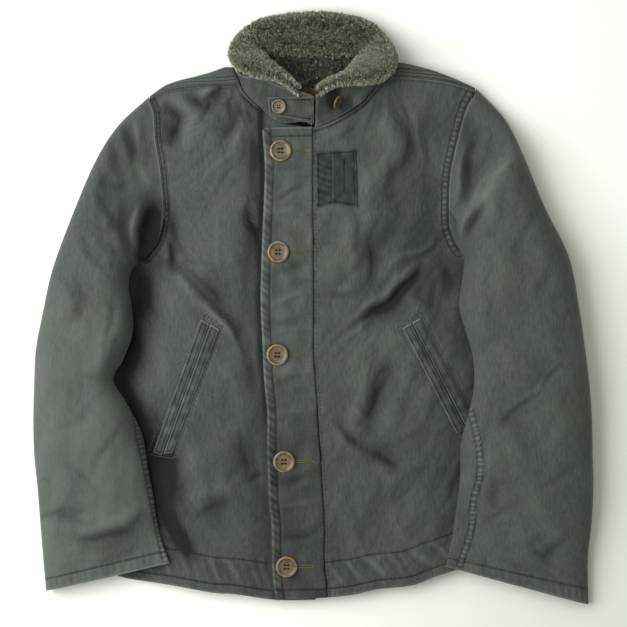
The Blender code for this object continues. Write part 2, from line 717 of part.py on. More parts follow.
def build_pile(cloth_tree):
    """The pile lies on the collar's cloth, and reaches past both of its edges."""
    around = 14
    half = np.linspace(0, math.pi, around // 2 + 1)
    phi = np.concatenate([half, math.pi + half[1:-1]])
    is_top = np.arange(len(phi)) <= around // 2
    s = 0.5 - 0.5 * np.cos(phi)
    swell = (1 - np.abs(2 * s - 1) ** 2.4) ** 0.5
    belly = (1 - np.abs(2 * s - 1) ** 5) ** 0.5
    sections = []
    for t in np.linspace(0, 1, 2 * len(PILE_ROWS) - 3):
        row = dict(zip(PILE_COLUMNS, table(PILE_ROWS, t)))
        a = np.array([row["outer_x"], row["outer_y"]])
        b = np.array([row["inner_x"], row["inner_y"]])
        plan = a + (b - a) * s[:, None]
        low = row["low_out"] + (row["low_in"] - row["low_out"]) * s
        thick = row["thick_out"] + (row["thick_in"] - row["thick_out"]) * s
        under = [max_height(cloth_tree, x, y, 3.0) + LYING_GAP for x, y in plan]
        low = np.fmax(low, under)
        middle = low + 0.42 * thick
        upper = middle + 0.58 * thick * swell - crease_depth(plan[:, 0], plan[:, 1], PILE_CREASES) * swell
        lower = np.fmax(middle - 0.42 * thick * belly, under)
        z = np.where(is_top, np.maximum(upper, low + 0.5 * thick), lower)
        sections.append(np.column_stack([plan, z]))
    return loft("collar_pile", np.array(sections), "pile")


def build_flat_piece(name, corners, low, thickness, look):
    """A level piece at a known height."""
    plan = quad_patch(corners, 4, 4)
    lower = np.concatenate([plan, np.full(plan.shape[:2] + (1,), low)], axis=-1)
    return wall(name, lower + np.array([0, 0, thickness]), lower, look)


def button_mesh(radius):
    """A turned four-hole button, standing on z = 0."""
    rings = [(r * radius, z * radius) for r, z in BUTTON_PROFILE]
    angles = np.linspace(0, 2 * math.pi, BUTTON_SEGMENTS, endpoint=False)
    points = [(r * math.cos(a), r * math.sin(a), z) for r, z in rings for a in angles]
    n = BUTTON_SEGMENTS
    faces = [[i * n + j, i * n + (j + 1) % n, (i + 1) * n + (j + 1) % n, (i + 1) * n + j]
             for i in range(len(rings) - 1) for j in range(n)]
    bottom, face_centre = len(points), len(points) + 1
    points += [(0, 0, 0), (0, 0, BUTTON_FACE_HEIGHT * radius)]
    top = (len(rings) - 1) * n
    faces += [[bottom, (j + 1) % n, j] for j in range(n)]
    faces += [[face_centre, top + j, top + (j + 1) % n] for j in range(n)]
    mesh = bpy.data.meshes.new("button")
    mesh.from_pydata((np.array(points) * MM).tolist(), [], faces)
    mesh.update()
    mesh.shade_smooth()
    mesh.set_sharp_from_angle(angle=math.radians(50))
    mesh.materials.append(material("button"))
    return mesh


def hole_cutter(radius):
    """Four pins through a button's face, to cut its thread holes."""
    mesh = bpy.data.meshes.new("thread_holes")
    points, faces = [], []
    for k in range(4):
        turn = math.pi / 4 + k * math.pi / 2
        cx, cy = HOLE_SPREAD * radius * math.cos(turn), HOLE_SPREAD * radius * math.sin(turn)
        first = len(points)
        for z in (-radius, radius):
            for j in range(HOLE_SIDES):
                a = 2 * math.pi * j / HOLE_SIDES
                points.append((cx + HOLE_RADIUS * radius * math.cos(a), cy + HOLE_RADIUS * radius * math.sin(a), z))
        for j in range(HOLE_SIDES):
            k2 = (j + 1) % HOLE_SIDES
            faces.append([first + j, first + k2, first + HOLE_SIDES + k2, first + HOLE_SIDES + j])
        faces.append([first + j for j in reversed(range(HOLE_SIDES))])
        faces.append([first + HOLE_SIDES + j for j in range(HOLE_SIDES)])
    mesh.from_pydata((np.array(points) * MM).tolist(), [], faces)
    mesh.update()
    cutter = bpy.data.objects.new("thread_holes_%d" % round(radius), mesh)
    cutter.hide_render = True
    cutter.display_type = "WIRE"
    bpy.context.scene.collection.objects.link(cutter)
    return cutter


def surface_normal(tree, x, y, radius):
    """The upward normal of the plane that fits a surface best round a plan point."""
    angles = np.linspace(0, 2 * math.pi, 16, endpoint=False)
    ring = [(radius * math.cos(a), radius * math.sin(a)) for a in angles]
    heights = [height_on(tree, x + dx, y + dy) for dx, dy in ring]
    slope_x, slope_y, _ = np.linalg.lstsq(np.column_stack([ring, np.ones(16)]), heights, rcond=None)[0]
    return Vector((-slope_x, -slope_y, 1)).normalized()


def resting_height(tree, mesh, turn, x, y):
    """How high a turned piece stands when it just clears the surface under it."""
    needed = []
    for vertex in mesh.vertices:
        p = (turn @ vertex.co) / MM
        under = height_on(tree, x + p.x, y + p.y)
        if not math.isnan(under):
            needed.append(under - p.z)
    return max(needed) + BUTTON_GAP


def place_button(name, mesh, cutter, tree, x, y, normal):
    turn = Vector((0, 0, 1)).rotation_difference(normal)
    z = resting_height(tree, mesh, turn, x, y)
    made = bpy.data.objects.new(name, mesh)
    made.location = ((x - CENTRE[0]) * MM, (y - CENTRE[1]) * MM, z * MM)
    made.rotation_mode = "QUATERNION"
    made.rotation_quaternion = turn
    bpy.context.scene.collection.objects.link(made)
    own_cutter = cutter.copy()
    own_cutter.parent = made
    bpy.context.scene.collection.objects.link(own_cutter)
    cut = made.modifiers.new("thread_holes", "BOOLEAN")
    cut.operation = "DIFFERENCE"
    cut.solver = "EXACT"
    cut.object = own_cutter


def build_buttons(placket_tree, tab_tree, collar_tree):
    large, large_cutter = button_mesh(BUTTON_RADIUS), hole_cutter(BUTTON_RADIUS)
    small, small_cutter = button_mesh(SMALL_BUTTON_RADIUS), hole_cutter(SMALL_BUTTON_RADIUS)
    for number, (x, y) in enumerate(FRONT_BUTTONS, 1):
        normal = surface_normal(placket_tree, x, y, 0.7 * BUTTON_RADIUS)
        place_button("button_%d" % number, large, large_cutter, placket_tree, x, y, normal)
    x, y = TAB_BUTTON
    normal = surface_normal(tab_tree, x, y, 0.7 * SMALL_BUTTON_RADIUS)
    place_button("tab_button", small, small_cutter, tab_tree, x, y, normal)
    x, y = SPARE_BUTTON
    lean = Vector((1, -0.45, 0)).normalized() * math.sin(SPARE_BUTTON_TILT)
    normal = lean + Vector((0, 0, math.cos(SPARE_BUTTON_TILT)))
    place_button("spare_button", small, small_cutter, collar_tree, x, y, normal)


def material(look):
    """A plain finish for one kind of cloth or button."""
    found = bpy.data.materials.get(look)
    if found:
        return found
    colour, roughness = COLOURS[look]
    made = bpy.data.materials.new(look)
    made.use_nodes = True
    shader = made.node_tree.nodes["Principled BSDF"]
    shader.inputs["Base Color"].default_value = (*colour, 1)
    shader.inputs["Roughness"].default_value = roughness
    shader.inputs["Metallic"].default_value = 0.0
    return made


def main():
    for old in list(bpy.data.objects):
        bpy.data.objects.remove(old)
    front_right, front_left = build_fronts()
    placket = build_placket()
    build_back()
    for hand in ("right", "left"):
        build_sleeve(hand)
    collar = build_collar_cloth()
    collar_tree = tree_of(collar)
    build_pile(collar_tree)
    build_flat_piece("neck_lining", NECK_LINING, CLOTH + SEAM_GAP, LINING, "lining")
    label_low = CLOTH + LINING + 2 * SEAM_GAP
    build_flat_piece("neck_label", NECK_LABEL, label_low, LABEL, "label")

    right_tree, left_tree = tree_of(front_right), tree_of(front_left)
    for name, corners in WELTS.items():
        laid_on(name, corners, right_tree if "right" in name else left_tree, WELT, "cloth", 16, 2)
    laid_on("chest_patch", CHEST_PATCH, left_tree, PATCH, "patch", 6, 5)
    tab = laid_on("chin_tab", CHIN_TAB, collar_tree, TAB, "cloth", 4, 6)
    build_buttons(tree_of(placket), tree_of(tab), collar_tree)


main()
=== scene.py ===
"""The deck jacket's cloth, pile, sewing, buttons and light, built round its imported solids.

Sizes in the tables are millimetres: x to the jacket's left side, y from the hem to the collar, z up.
"""

import math

import bpy
import numpy as np
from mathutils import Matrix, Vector
from mathutils.bvhtree import BVHTree

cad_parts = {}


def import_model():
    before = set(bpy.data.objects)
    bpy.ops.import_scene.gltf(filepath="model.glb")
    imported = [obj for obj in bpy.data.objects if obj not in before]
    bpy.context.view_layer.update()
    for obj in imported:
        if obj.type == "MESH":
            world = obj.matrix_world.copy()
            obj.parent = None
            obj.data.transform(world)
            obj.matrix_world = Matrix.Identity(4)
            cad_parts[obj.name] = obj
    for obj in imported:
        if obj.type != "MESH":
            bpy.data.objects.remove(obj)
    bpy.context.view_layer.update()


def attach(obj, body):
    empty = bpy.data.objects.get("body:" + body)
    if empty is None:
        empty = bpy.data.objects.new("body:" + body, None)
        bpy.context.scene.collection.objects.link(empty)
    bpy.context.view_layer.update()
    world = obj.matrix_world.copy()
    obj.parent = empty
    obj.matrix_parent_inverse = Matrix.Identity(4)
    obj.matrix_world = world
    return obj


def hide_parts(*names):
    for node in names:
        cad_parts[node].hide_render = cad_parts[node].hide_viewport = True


MM = 0.001
CLOTH = 3.0
PLACKET = 3.5
COLLAR_CLOTH = 2.5
SEAM_GAP = 0.3
UNDER_PLACKET_GAP = 0.8
SLEEVE_CLEARANCE = 3.6
HEAD_CLEARANCE = 1.2
CAP_TIP = 4.0
SHELL_WALL = CLOTH - 0.4
CENTRE = np.array([-0.6, -0.3, 0.0])

ARMHOLE = {
    "right": [(-198, 251), (-192, 235), (-190, 204), (-185, 173), (-182, 143), (-181, 114), (-187, 84),
              (-202, 61)],
    "left": [(194, 261), (182, 238), (172, 202), (164, 166), (162, 130), (163, 100), (169, 82), (176, 70)],
}
SIDE = {
    "right": [(-202, 61), (-226, 48), (-242, 22), (-252, -20), (-257, -86), (-254, -170), (-250, -254),
              (-245, -318)],
    "left": [(176, 70), (197, 55), (216, 28), (229, -14), (238, -86), (241, -170), (241, -254), (239, -302)],
}
HEM = {
    "right": [(-245, -318), (-229, -326), (-173, -334), (-122, -343), (-94, -345), (-46, -352), (2, -352)],
    "left": [(17, -349), (50, -345), (76, -339), (119, -334), (148, -323), (199, -308), (239, -302)],
}
NECKLINE = {
    "right": [(-14, 218), (-34, 221), (-49, 228), (-65, 242), (-82, 258), (-89, 269)],
    "left": [(-1, 216), (18, 222), (38, 233), (58, 248), (74, 266), (86, 278)],
}
SHOULDER_SEAM = {
    "right": [(-89, 269), (-113, 267), (-150, 265.5), (-178, 261), (-198, 251)],
    "left": [(86, 278), (112, 277), (151, 273), (178, 267), (194, 261)],
}
BACK_NECK = [(-89, 269), (-83, 286), (-66, 298), (-40, 301), (0, 301), (40, 301), (64, 298), (79, 290),
             (86, 278)]
PLACKET_EDGE = [(-62, 213), (-59, 164), (-62, 82), (-64, 10), (-62, -36), (-60, -82), (-56, -128),
                (-56, -174), (-54, -230), (-51, -263), (-50, -319), (-46, -352)]
PLACKET_SEAM = [(-1, 216), (-1, 130), (0, 10), (0, -52), (4, -110), (6, -143), (10, -206), (13, -263),
                (13, -305), (17, -349)]
STAND_EDGE = [(-14, 218), (-14, 100), (-13, 0), (-9, -120), (-3, -220), (2, -352)]
SHOULDER_ROLL = {
    "share": [0, 0.07, 0.167, 0.333, 0.5, 0.667, 0.833, 1],
    "right": [5, 22, 23, 17, 12.5, 10, 7.5, 4.5],
    "left": [4, 17, 18.5, 16, 13, 9, 6, 4.5],
}
FRONT_COLUMNS = ("y", "crown", "edge", "slope")
FRONT_ROWS = [
    (-360, 17, 6.3, 115),
    (-320, 22, 6.3, 118),
    (-250, 33, 6.3, 120),
    (-150, 42, 6.3, 125),
    (-50, 46, 6.3, 125),
    (30, 48, 6.3, 115),
    (70, 49, 6.3, 100),
    (90, 49, 8, 95),
    (108, 49, 15, 90),
    (130, 49, 25, 85),
    (160, 48, 33, 75),
    (200, 45, 32, 65),
    (230, 40, 27, 58),
    (262, 30, 21, 50),
    (300, 24, 18, 50),
]
CREASE_COLUMNS = ("x0", "y0", "x1", "y1", "width", "depth")
FRONT_CREASES = [
    (-190, 78, -150, 22, 16, 5.0),
    (-150, 22, -92, -26, 15, 4.5),
    (-170, 250, -174, 196, 15, 5.0),
    (-104, 262, -92, 224, 12, 3.0),
    (132, 66, 70, -6, 17, 7.0),
    (158, 60, 152, 2, 14, 4.0),
    (100, 92, 36, 30, 18, 4.0),
    (30, -134, 104, -194, 15, 4.5),
    (88, -80, 66, -150, 18, 4.0),
    (86, 252, 78, 198, 14, 3.5),
    (-150, -190, -96, -262, 20, 3.0),
    (120, -212, 60, -280, 20, 3.0),
]
SLEEVE_COLUMNS = ("outer_x", "outer_y", "inner_x", "inner_y", "height")
SLEEVE_ROWS = {
    "right": [
        (-198, 251, -202, 61, 34),
        (-235, 221, -212, 54, 46),
        (-262, 178, -220, 44, 58),
        (-290, 112, -223, 26, 68),
        (-314, 46, -219, 2, 72),
        (-326, -8, -218, -30, 72),
        (-334, -50, -229, -62, 72),
        (-336, -92, -241, -86, 72),
        (-337, -134, -226, -113, 72),
        (-336, -176, -207, -150, 70),
        (-332, -218, -200, -190, 64),
        (-329, -260, -193, -226, 55),
        (-326, -302, -187, -266, 43),
        (-323, -341, -174, -307, 30),
    ],
    "left": [
        (194, 261, 176, 70, 34),
        (229, 229, 181, 62, 46),
        (250, 188, 180, 47, 56),
        (277, 122, 177, 26, 64),
        (306, 62, 174, 2, 67),
        (318, 4, 181, -24, 67),
        (325, -44, 191, -60, 66),
        (331, -92, 192, -96, 64),
        (334, -134, 185, -128, 62),
        (335, -176, 176, -164, 59),
        (336, -218, 175, -206, 54),
        (334, -260, 170, -245, 46),
        (330, -302, 165, -280, 36),
        (331, -358, 158, -311, 25),
    ],
}
SLEEVE_CREASES = {
    "right": [
        (-238, 222, -214, 168, 9, -4.5),
        (-222, 214, -206, 150, 9, 4.5),
        (-256, 164, -240, 118, 13, 5.0),
        (-194, 126, -205, 58, 12, 15.0),
        (-246, -92, -296, -110, 18, 3.0),
        (-322, -258, -262, -242, 10, 4.0),
    ],
    "left": [
        (240, 182, 190, 108, 9, -4.5),
        (198, 224, 180, 120, 12, 5.5),
        (206, 130, 180, 82, 9, 3.6),
        (304, -52, 224, -144, 15, 3.4),
        (262, 118, 306, 96, 10, 3.0),
    ],
}
COLLAR_ROWS = [
    (-2, 219, 46, -2.5, 254, 52.5),
    (-14, 223, 46, -14, 258, 53),
    (-34, 221, 46, -32, 262, 54),
    (-49, 227, 46, -50, 270, 53),
    (-65, 241, 44, -67, 276, 48),
    (-82, 258, 40, -84, 278, 44),
    (-88, 270, 34, -93, 285, 39),
    (-87, 284, 18, -94, 300, 25),
    (-79, 294, 4, -87, 317, 8),
    (-60, 301, 0, -74, 334, 3),
    (-30, 302, 0, -36, 346, 3.5),
    (0, 302, 0, 0, 349, 3.5),
    (30, 302, 0, 36, 346, 3.5),
    (56, 301, 0, 70, 334, 3),
    (75, 294, 4, 86, 318, 10),
    (83, 286, 18, 93, 302, 24),
    (85, 279, 34, 93, 291, 38),
    (74, 266, 40, 82, 277, 44),
    (58, 248, 44, 66, 272, 48),
    (38, 233, 46, 46, 270, 51),
    (18, 222, 46.5, 24, 266, 53),
    (1.5, 216, 46.5, 2.5, 254, 54),
]
PILE_COLUMNS = ("outer_x", "outer_y", "inner_x", "inner_y", "low_out", "low_in", "thick_out", "thick_in")
PILE_ROWS = [
    (-19, 256, -20, 262, 56, 56, 8, 8),
    (-34, 262, -29, 272, 56.5, 55, 12, 12),
    (-55, 267, -39, 283, 55.5, 48, 17, 18),
    (-79, 271, -49, 296, 49.5, 38, 23, 24),
    (-95, 283, -56, 303, 41, 26, 29, 30),
    (-102, 300, -60, 307, 30, 12, 34, 28),
    (-98, 319, -59, 311, 16, 4, 38, 18),
    (-86, 335, -52, 309, 8, 3.4, 31, 12),
    (-65, 349, -38, 304, 6.8, 3.4, 24, 11),
    (-35, 355, -20, 302, 7.2, 3.4, 23, 10),
    (0, 358, 0, 301, 7.4, 3.4, 23, 10),
    (37, 355, 19, 301, 7.2, 3.4, 23, 10),
    (68, 346, 36, 302, 6.6, 3.4, 24, 11),
    (84, 331, 46, 303, 8, 4, 28, 14),
    (95, 315, 50, 303, 15, 6, 33, 20),
    (100, 300, 50, 300, 26, 12, 34, 26),
    (97, 286, 45, 293, 40, 24, 28, 27),
    (86, 275, 39, 286, 46, 36, 24, 24),
    (71, 269, 33, 280, 50.5, 45, 20, 20),
    (53, 268, 26, 275, 53, 50, 17, 17),
    (34, 266, 18, 270, 54.5, 53, 14, 14),
    (16, 261, 11, 265, 55, 55, 11, 11),
    (5, 256.5, 6, 260, 55, 55, 8, 8),
]
PILE_CREASES = [
    (-46, 290, -72, 332, 9, 14.0),
    (48, 296, 62, 318, 10, 5.0),
]
PILE_TUCK = 9.0
WELTS = {
    "pocket_welt_right_front": [(-181.5, -176), (-170, -174), (-113, -26), (-124, -19)],
    "pocket_welt_right_back": [(-194, -174), (-183, -177.5), (-125, -19.5), (-135, -13)],
    "pocket_welt_left_front": [(172, -152), (183, -146), (116, -18), (106, -24)],
    "pocket_welt_left_back": [(184.5, -145.5), (190, -129), (127, -12), (117.5, -17.5)],
}
PLACKET_TOP = 216.0
CHEST_PATCH = [(3, 119), (52, 121), (50, 190), (2, 187)]
CHIN_TAB = [(-53, 231), (0, 221), (0, 253), (-56, 252)]
NECK_LINING = [(-58, 190), (58, 190), (50, 296), (-50, 296)]
NECK_FUR = [(-58, 190), (58, 190), (52, 308), (-52, 308)]
LABEL_TAPE = [(-17, 236), (7, 236), (6, 265), (-16, 265)]
FRONT_BUTTONS = [(-40, 188), (-43, 67), (-44, -56), (-36, -184), (-33, -311)]
BUTTONHOLE_ENDS = [-9.5, -9.5, -10.5, -1.5, -1.5]

# How far rows of stitches lie from the line that they follow
SHOULDER_STITCHES = (2.2, 6.2, 10.2)
ARMHOLE_STITCHES = (1.5, 8.0)
HEM_STITCHES = (10.0, 43.0)
SLEEVE_SEAM_STITCHES = (-3.4, 3.4)
CUFF_STITCHES = 15.0
PATCH_STITCHES = [
    [(5, 121.5), (24, 128), (49.8, 124), (48, 187.5), (4.5, 185), (5, 121.5)],
    [(21, 124), (20.5, 186)],
]
TAB_STITCHES = [(-3, 224), (-3, 250), (-53, 249.5), (-51, 233.5), (-3, 224)]

# Smaller creases, with the same columns as the large ones
FINE_CREASES = [
    (-104, 268, -138, 218, 6, 1.6),
    (-140, 252, -114, 266, 6, -1.6),
    (-96, 262, -99, 226, 5, 1.4),
    (-86, 250, -78, 212, 4, 1.0),
    (-150, 214, -176, 232, 7, -1.2),
    (-100, 215, -160, 150, 5, 0.9),
    (-88, 208, -148, 130, 5, -0.8),
    (-82, 190, -136, 108, 5, 0.8),
    (-74, 214, -80, 140, 6, -0.9),
    (-176, 108, -150, 52, 6, 1.4),
    (-160, 60, -118, 8, 6, -1.4),
    (-140, -4, -92, -52, 7, 1.2),
    (-96, -60, -78, -140, 8, 1.2),
    (-110, 96, -98, 10, 6, 0.7),
    (-120, 120, -112, 40, 6, -0.7),
    (-90, -168, -106, -240, 7, 1.0),
    (-170, -210, -120, -290, 8, 1.2),
    (-210, -210, -170, -290, 8, 1.2),
    (-200, -120, -232, -200, 9, -1.2),
    (20, 206, 60, 150, 6, 1.1),
    (88, 268, 84, 214, 5, -1.4),
    (74, 250, 60, 206, 5, 1.2),
    (106, 262, 116, 200, 6, 1.3),
    (120, 238, 132, 168, 7, -1.2),
    (60, 200, 76, 120, 7, 0.9),
    (96, 190, 92, 110, 7, 0.9),
    (140, 210, 134, 130, 7, 0.9),
    (160, 92, 106, 40, 6, 2.0),
    (152, 84, 90, 50, 6, -1.8),
    (128, 40, 62, -20, 6, 1.8),
    (110, 20, 40, -34, 6, -1.6),
    (80, 4, 22, -40, 6, 1.4),
    (66, 66, 24, 20, 7, 1.2),
    (148, 30, 128, -10, 6, 1.6),
    (24, -130, 54, -160, 5, 2.0),
    (54, -160, 100, -192, 5, 1.8),
    (34, -118, 80, -150, 6, -1.4),
    (100, -60, 70, -110, 7, 1.2),
    (150, -170, 96, -232, 8, 1.4),
    (190, -180, 150, -250, 8, 1.2),
    (40, -220, 70, -296, 8, 1.0),
    (90, -250, 140, -306, 8, -1.0),
    (200, -200, 208, -280, 8, 1.4),
]
# Painted shade: lines along which the cloth is painted darker, in the valleys beside the sleeves, the armpits
# and other hollows where shade falls, with the same columns. Depth is how dark
FRONT_PAINTED_SHADE = [
    (-202, 52, -208, -16, 22, 1.2),
    (-214, -20, -228, -90, 22, 1.4),
    (-226, -96, -206, -150, 16, 1.0),
    (-192, -140, -174, -244, 24, 1.7),
    (-177, 132, -168, 74, 10, 0.8),
    (-180, -244, -148, -300, 14, 1.5),
    (-176, 84, -166, 40, 4, 0.4),
    (126, 54, 92, 16, 6, 0.45),
    (158, 56, 156, 14, 5, 0.4),
    (-128, 246, -126, 238, 5, 0.4),
]
SLEEVE_PAINTED_SHADE = {
    "right": [
        (-191, 126, -202, 54, 14, 1.9),
        (-213, 45, -219, -20, 9, 0.6),
        (-226, -128, -206, -172, 12, 0.3),
        (-203, -150, -186, -262, 9, 0.6),
    ],
    "left": [
        (201, 124, 184, 88, 7, 0.6),
    ],
}
# Pressed folds, each along a line, with a steep wall on the line's left and a long one on its right
FOLD_COLUMNS = ("line", "steep", "long", "depth")
FRONT_FOLDS = [
    ([(-178, 248), (-164, 229), (-163, 212), (-172, 191)], 7, 12, 4.8),
    ([(-133, 248), (-120, 257), (-108, 266)], 4, 9, 3.6),
    ([(-154, 259), (-142, 250), (-126, 234)], 7, 8, 3.6),
    ([(-95, 254), (-92, 235), (-98, 217), (-110, 202)], 5, 7, 3),
    ([(-83, 242), (-78, 230), (-74, 221)], 4, 5, 2.4),
    ([(-82, 125), (-74, 103), (-62, 74)], 5, 8, 3.3),
    ([(-80, -62), (-87, -40), (-100, -17), (-120, 2), (-142, 24), (-166, 55)], 3.5, 11, 4.4),
    ([(-108, 4), (-130, 26), (-148, 48)], 3.5, 7, 2.7),
    ([(-169, 38), (-173, 60), (-176, 82)], 3.5, 7, 3.3),
    ([(-89, -146), (-82, -176), (-80, -216)], 9, 9, 3),
    ([(-58, -198), (-67, -204), (-77, -214)], 4, 6, 2.4),
    ([(-142, -254), (-120, -238), (-94, -228)], 9, 10, 2.7),
    ([(56, -17), (78, -1), (107, 25), (131, 56)], 4.5, 13, 7.5),
    ([(146, -1), (128, 14), (136, 34)], 5, 7, 1.8),
    ([(163, 8), (164, 30), (160, 54)], 5, 9, 2.6),
    ([(43, 19), (67, 38), (68, 85), (86, 115)], 8, 12, 3.3),
    ([(74, 92), (86, 143), (115, 190), (101, 232), (86, 260)], 9, 10, 3.3),
    ([(56, 34), (53, 82), (49, 128)], 5, 6, 2.1),
    ([(67, -158), (67, -127), (78, -89), (89, -59)], 8, 10, 3.3),
    ([(56, -167), (44, -156), (34, -144)], 4, 5, 2.1),
    ([(10, 17), (37, 16), (58, 18)], 3, 4, 1.4),
    ([(28, 199), (46, 216), (58, 228)], 4, 6, 2.1),
    ([(108, -204), (84, -180), (70, -173)], 6, 10, 2.7),
]
SLEEVE_FOLDS = {
    "right": [
        ([(-210, 53), (-208, 82), (-202, 122)], 4, 15, 9),
        ([(-228, 223), (-220, 199), (-210, 175)], 9, 14, 2.2),
        ([(-241, 142), (-250, 151), (-253, 163)], 5, 10, 2.0),
        ([(-244, 143), (-233, 144), (-223, 154)], 5, 9, 1.8),
        ([(-229, 90), (-235, 101), (-239, 113)], 4, 7, 2.2),
        ([(-289, -22), (-277, 10), (-286, 36)], 8, 10, 2.4),
        ([(-287, -280), (-252, -274), (-221, -264), (-198, -241)], 6, 12, 4.8),
        ([(-245, -82), (-240, -58), (-234, -31)], 6, 9, 2.7),
    ],
    "left": [
        ([(199, 122), (191, 108), (182, 91)], 4, 5, 1.4),
        ([(181, 124), (185, 154), (191, 180)], 4, 8, 4.5),
        ([(220, -142), (238, -125), (274, -95), (307, -55)], 3, 8, 2.4),
        ([(271, -302), (290, -288), (307, -274)], 6, 8, 2.4),
        ([(216, -245), (214, -218), (216, -194)], 5, 6, 1.8),
    ],
}
PLACKET_CREASES = [
    (-52, 160, -10, 172, 5, 0.8),
    (-50, 128, -6, 150, 5, 0.9),
    (-54, 112, -8, 118, 5, -0.7),
    (-52, 34, -10, 54, 6, 0.8),
    (-50, 8, -8, 22, 6, -0.8),
    (-50, -22, -8, -14, 5, 0.8),
    (-48, -92, -2, -78, 6, 0.8),
    (-46, -130, 0, -120, 6, -0.7),
    (-44, -212, 4, -196, 6, 0.9),
    (-42, -240, 6, -232, 5, -0.7),
    (-40, -278, 8, -262, 6, 0.9),
]
FINE_SLEEVE_CREASES = {
    "right": [
        (-193, 122, -205, 56, 8, 3.0),
        (-219, 228, -211, 190, 3.5, -2.6),
        (-212, 182, -198, 150, 4, -2.0),
        (-206, 224, -196, 160, 7, 2.4),
        (-246, 214, -232, 160, 7, 1.8),
        (-212, 122, -212, 62, 4, -2.2),
        (-226, 120, -222, 60, 7, 1.8),
        (-262, 150, -236, 96, 7, 1.8),
        (-280, 96, -250, 40, 8, 1.6),
        (-296, 30, -262, -30, 8, 1.2),
        (-236, 10, -246, -60, 6, 1.5),
        (-240, -84, -282, -78, 6, 1.0),
        (-262, -120, -318, -150, 8, 1.2),
        (-226, -130, -262, -196, 7, 1.4),
        (-300, -180, -250, -230, 8, 1.2),
        (-214, -160, -220, -230, 6, -1.2),
        (-336, -262, -290, -240, 6, 2.2),
        (-318, -250, -240, -262, 7, 1.4),
        (-300, -290, -230, -276, 7, -1.2),
        (-260, -310, -200, -284, 6, 1.2),
    ],
    "left": [
        (238, 182, 204, 152, 4, -2.6),
        (204, 152, 186, 122, 4, -2.6),
        (186, 122, 176, 92, 4, -2.0),
        (197, 218, 180, 132, 6, 3.0),
        (214, 214, 196, 160, 7, 1.8),
        (202, 128, 182, 84, 5, 3.2),
        (232, 150, 214, 90, 7, 1.6),
        (256, 186, 240, 120, 8, 1.2),
        (270, 120, 240, 60, 8, 1.4),
        (290, 70, 262, 10, 8, 1.2),
        (210, 60, 206, -20, 7, 1.4),
        (306, -53, 262, -98, 5, 0.8),
        (262, -98, 222, -145, 5, 0.8),
        (300, -70, 240, -130, 7, -1.6),
        (296, -120, 250, -180, 8, 1.2),
        (212, -120, 200, -190, 6, 1.4),
        (318, -190, 270, -220, 8, 1.2),
        (250, -230, 200, -262, 7, 1.2),
        (310, -270, 240, -290, 7, 1.0),
        (300, -330, 220, -300, 6, 0.9),
    ],
}


# Curves, tables and grids

def smooth(t):
    t = np.clip(t, 0.0, 1.0)
    return t * t * (3 - 2 * t)


def bell(value, middle, width, power=2):
    """1 at the middle, falling off on both sides."""
    return np.exp(-((value - middle) / width) ** power)


def dense_curve(points, per_span=12):
    p = np.array(points, float)
    p = np.vstack([2 * p[0] - p[1], p, 2 * p[-1] - p[-2]])
    made = []
    for i in range(1, len(p) - 2):
        for t in np.arange(per_span) / per_span:
            made.append(0.5 * (2 * p[i] + (p[i + 1] - p[i - 1]) * t
                               + (2 * p[i - 1] - 5 * p[i] + 4 * p[i + 1] - p[i + 2]) * t ** 2
                               + (3 * p[i] - p[i - 1] - 3 * p[i + 1] + p[i + 2]) * t ** 3))
    made.append(p[-2])
    return np.array(made)


def lengths_of(points):
    return np.concatenate([[0], np.cumsum(np.linalg.norm(np.diff(points, axis=0), axis=1))])


def shares_of(points):
    length = lengths_of(points)
    return length / length[-1]


def along(points, shares):
    fine = dense_curve(points)
    share = shares_of(fine)
    return np.stack([np.interp(shares, share, fine[:, k]) for k in range(fine.shape[1])], axis=1)


def evenly(points, count):
    return along(points, np.linspace(0, 1, count + 1))


def graded(length, zones):
    """Shares along a length. zones holds (reach, spacing) from its start and its end, and the widest one."""
    near, far, widest = zones
    at, made = 0.0, [0.0]
    while at < length:
        at += min([widest] + [step for reach, step in near if at < reach]
                  + [step for reach, step in far if at > length - reach])
        made.append(at)
    if len(made) % 2 == 0:
        made.insert(-1, 0.5 * (made[-2] + made[-1]))
    return np.array(made) / made[-1]


def at_y(points, y):
    fine = dense_curve(points)
    order = np.argsort(fine[:, 1])
    return np.interp(y, fine[order, 1], fine[order, 0])


def table(rows, position):
    fine = dense_curve(rows)
    return np.stack([np.interp(np.asarray(position) * (len(fine) - 1), np.arange(len(fine)), fine[:, k])
                     for k in range(fine.shape[1])], axis=-1)


def patch_between(bottom, top, left, right):
    v = (0.5 * (shares_of(left) + shares_of(right)))[:, None, None]
    u = (0.5 * (shares_of(bottom) + shares_of(top)))[None, :, None]
    sides = (1 - u) * left[:, None] + u * right[:, None]
    ends = (1 - v) * bottom[None] + v * top[None]
    corners = ((1 - v) * ((1 - u) * bottom[0] + u * bottom[-1]) + v * ((1 - u) * top[0] + u * top[-1]))
    return sides + ends - corners


def quad_patch(corners, rows, columns):
    a, b, c, d = (np.array(p, float) for p in corners)
    v = np.linspace(0, 1, rows + 1)[:, None, None]
    u = np.linspace(0, 1, columns + 1)[None, :, None]
    return (1 - v) * ((1 - u) * a + u * b) + v * ((1 - u) * d + u * c)


def raised(plan, z):
    """Plan points with their heights."""
    return np.concatenate([plan, np.broadcast_to(z, plan.shape[:-1])[..., None]], axis=-1)


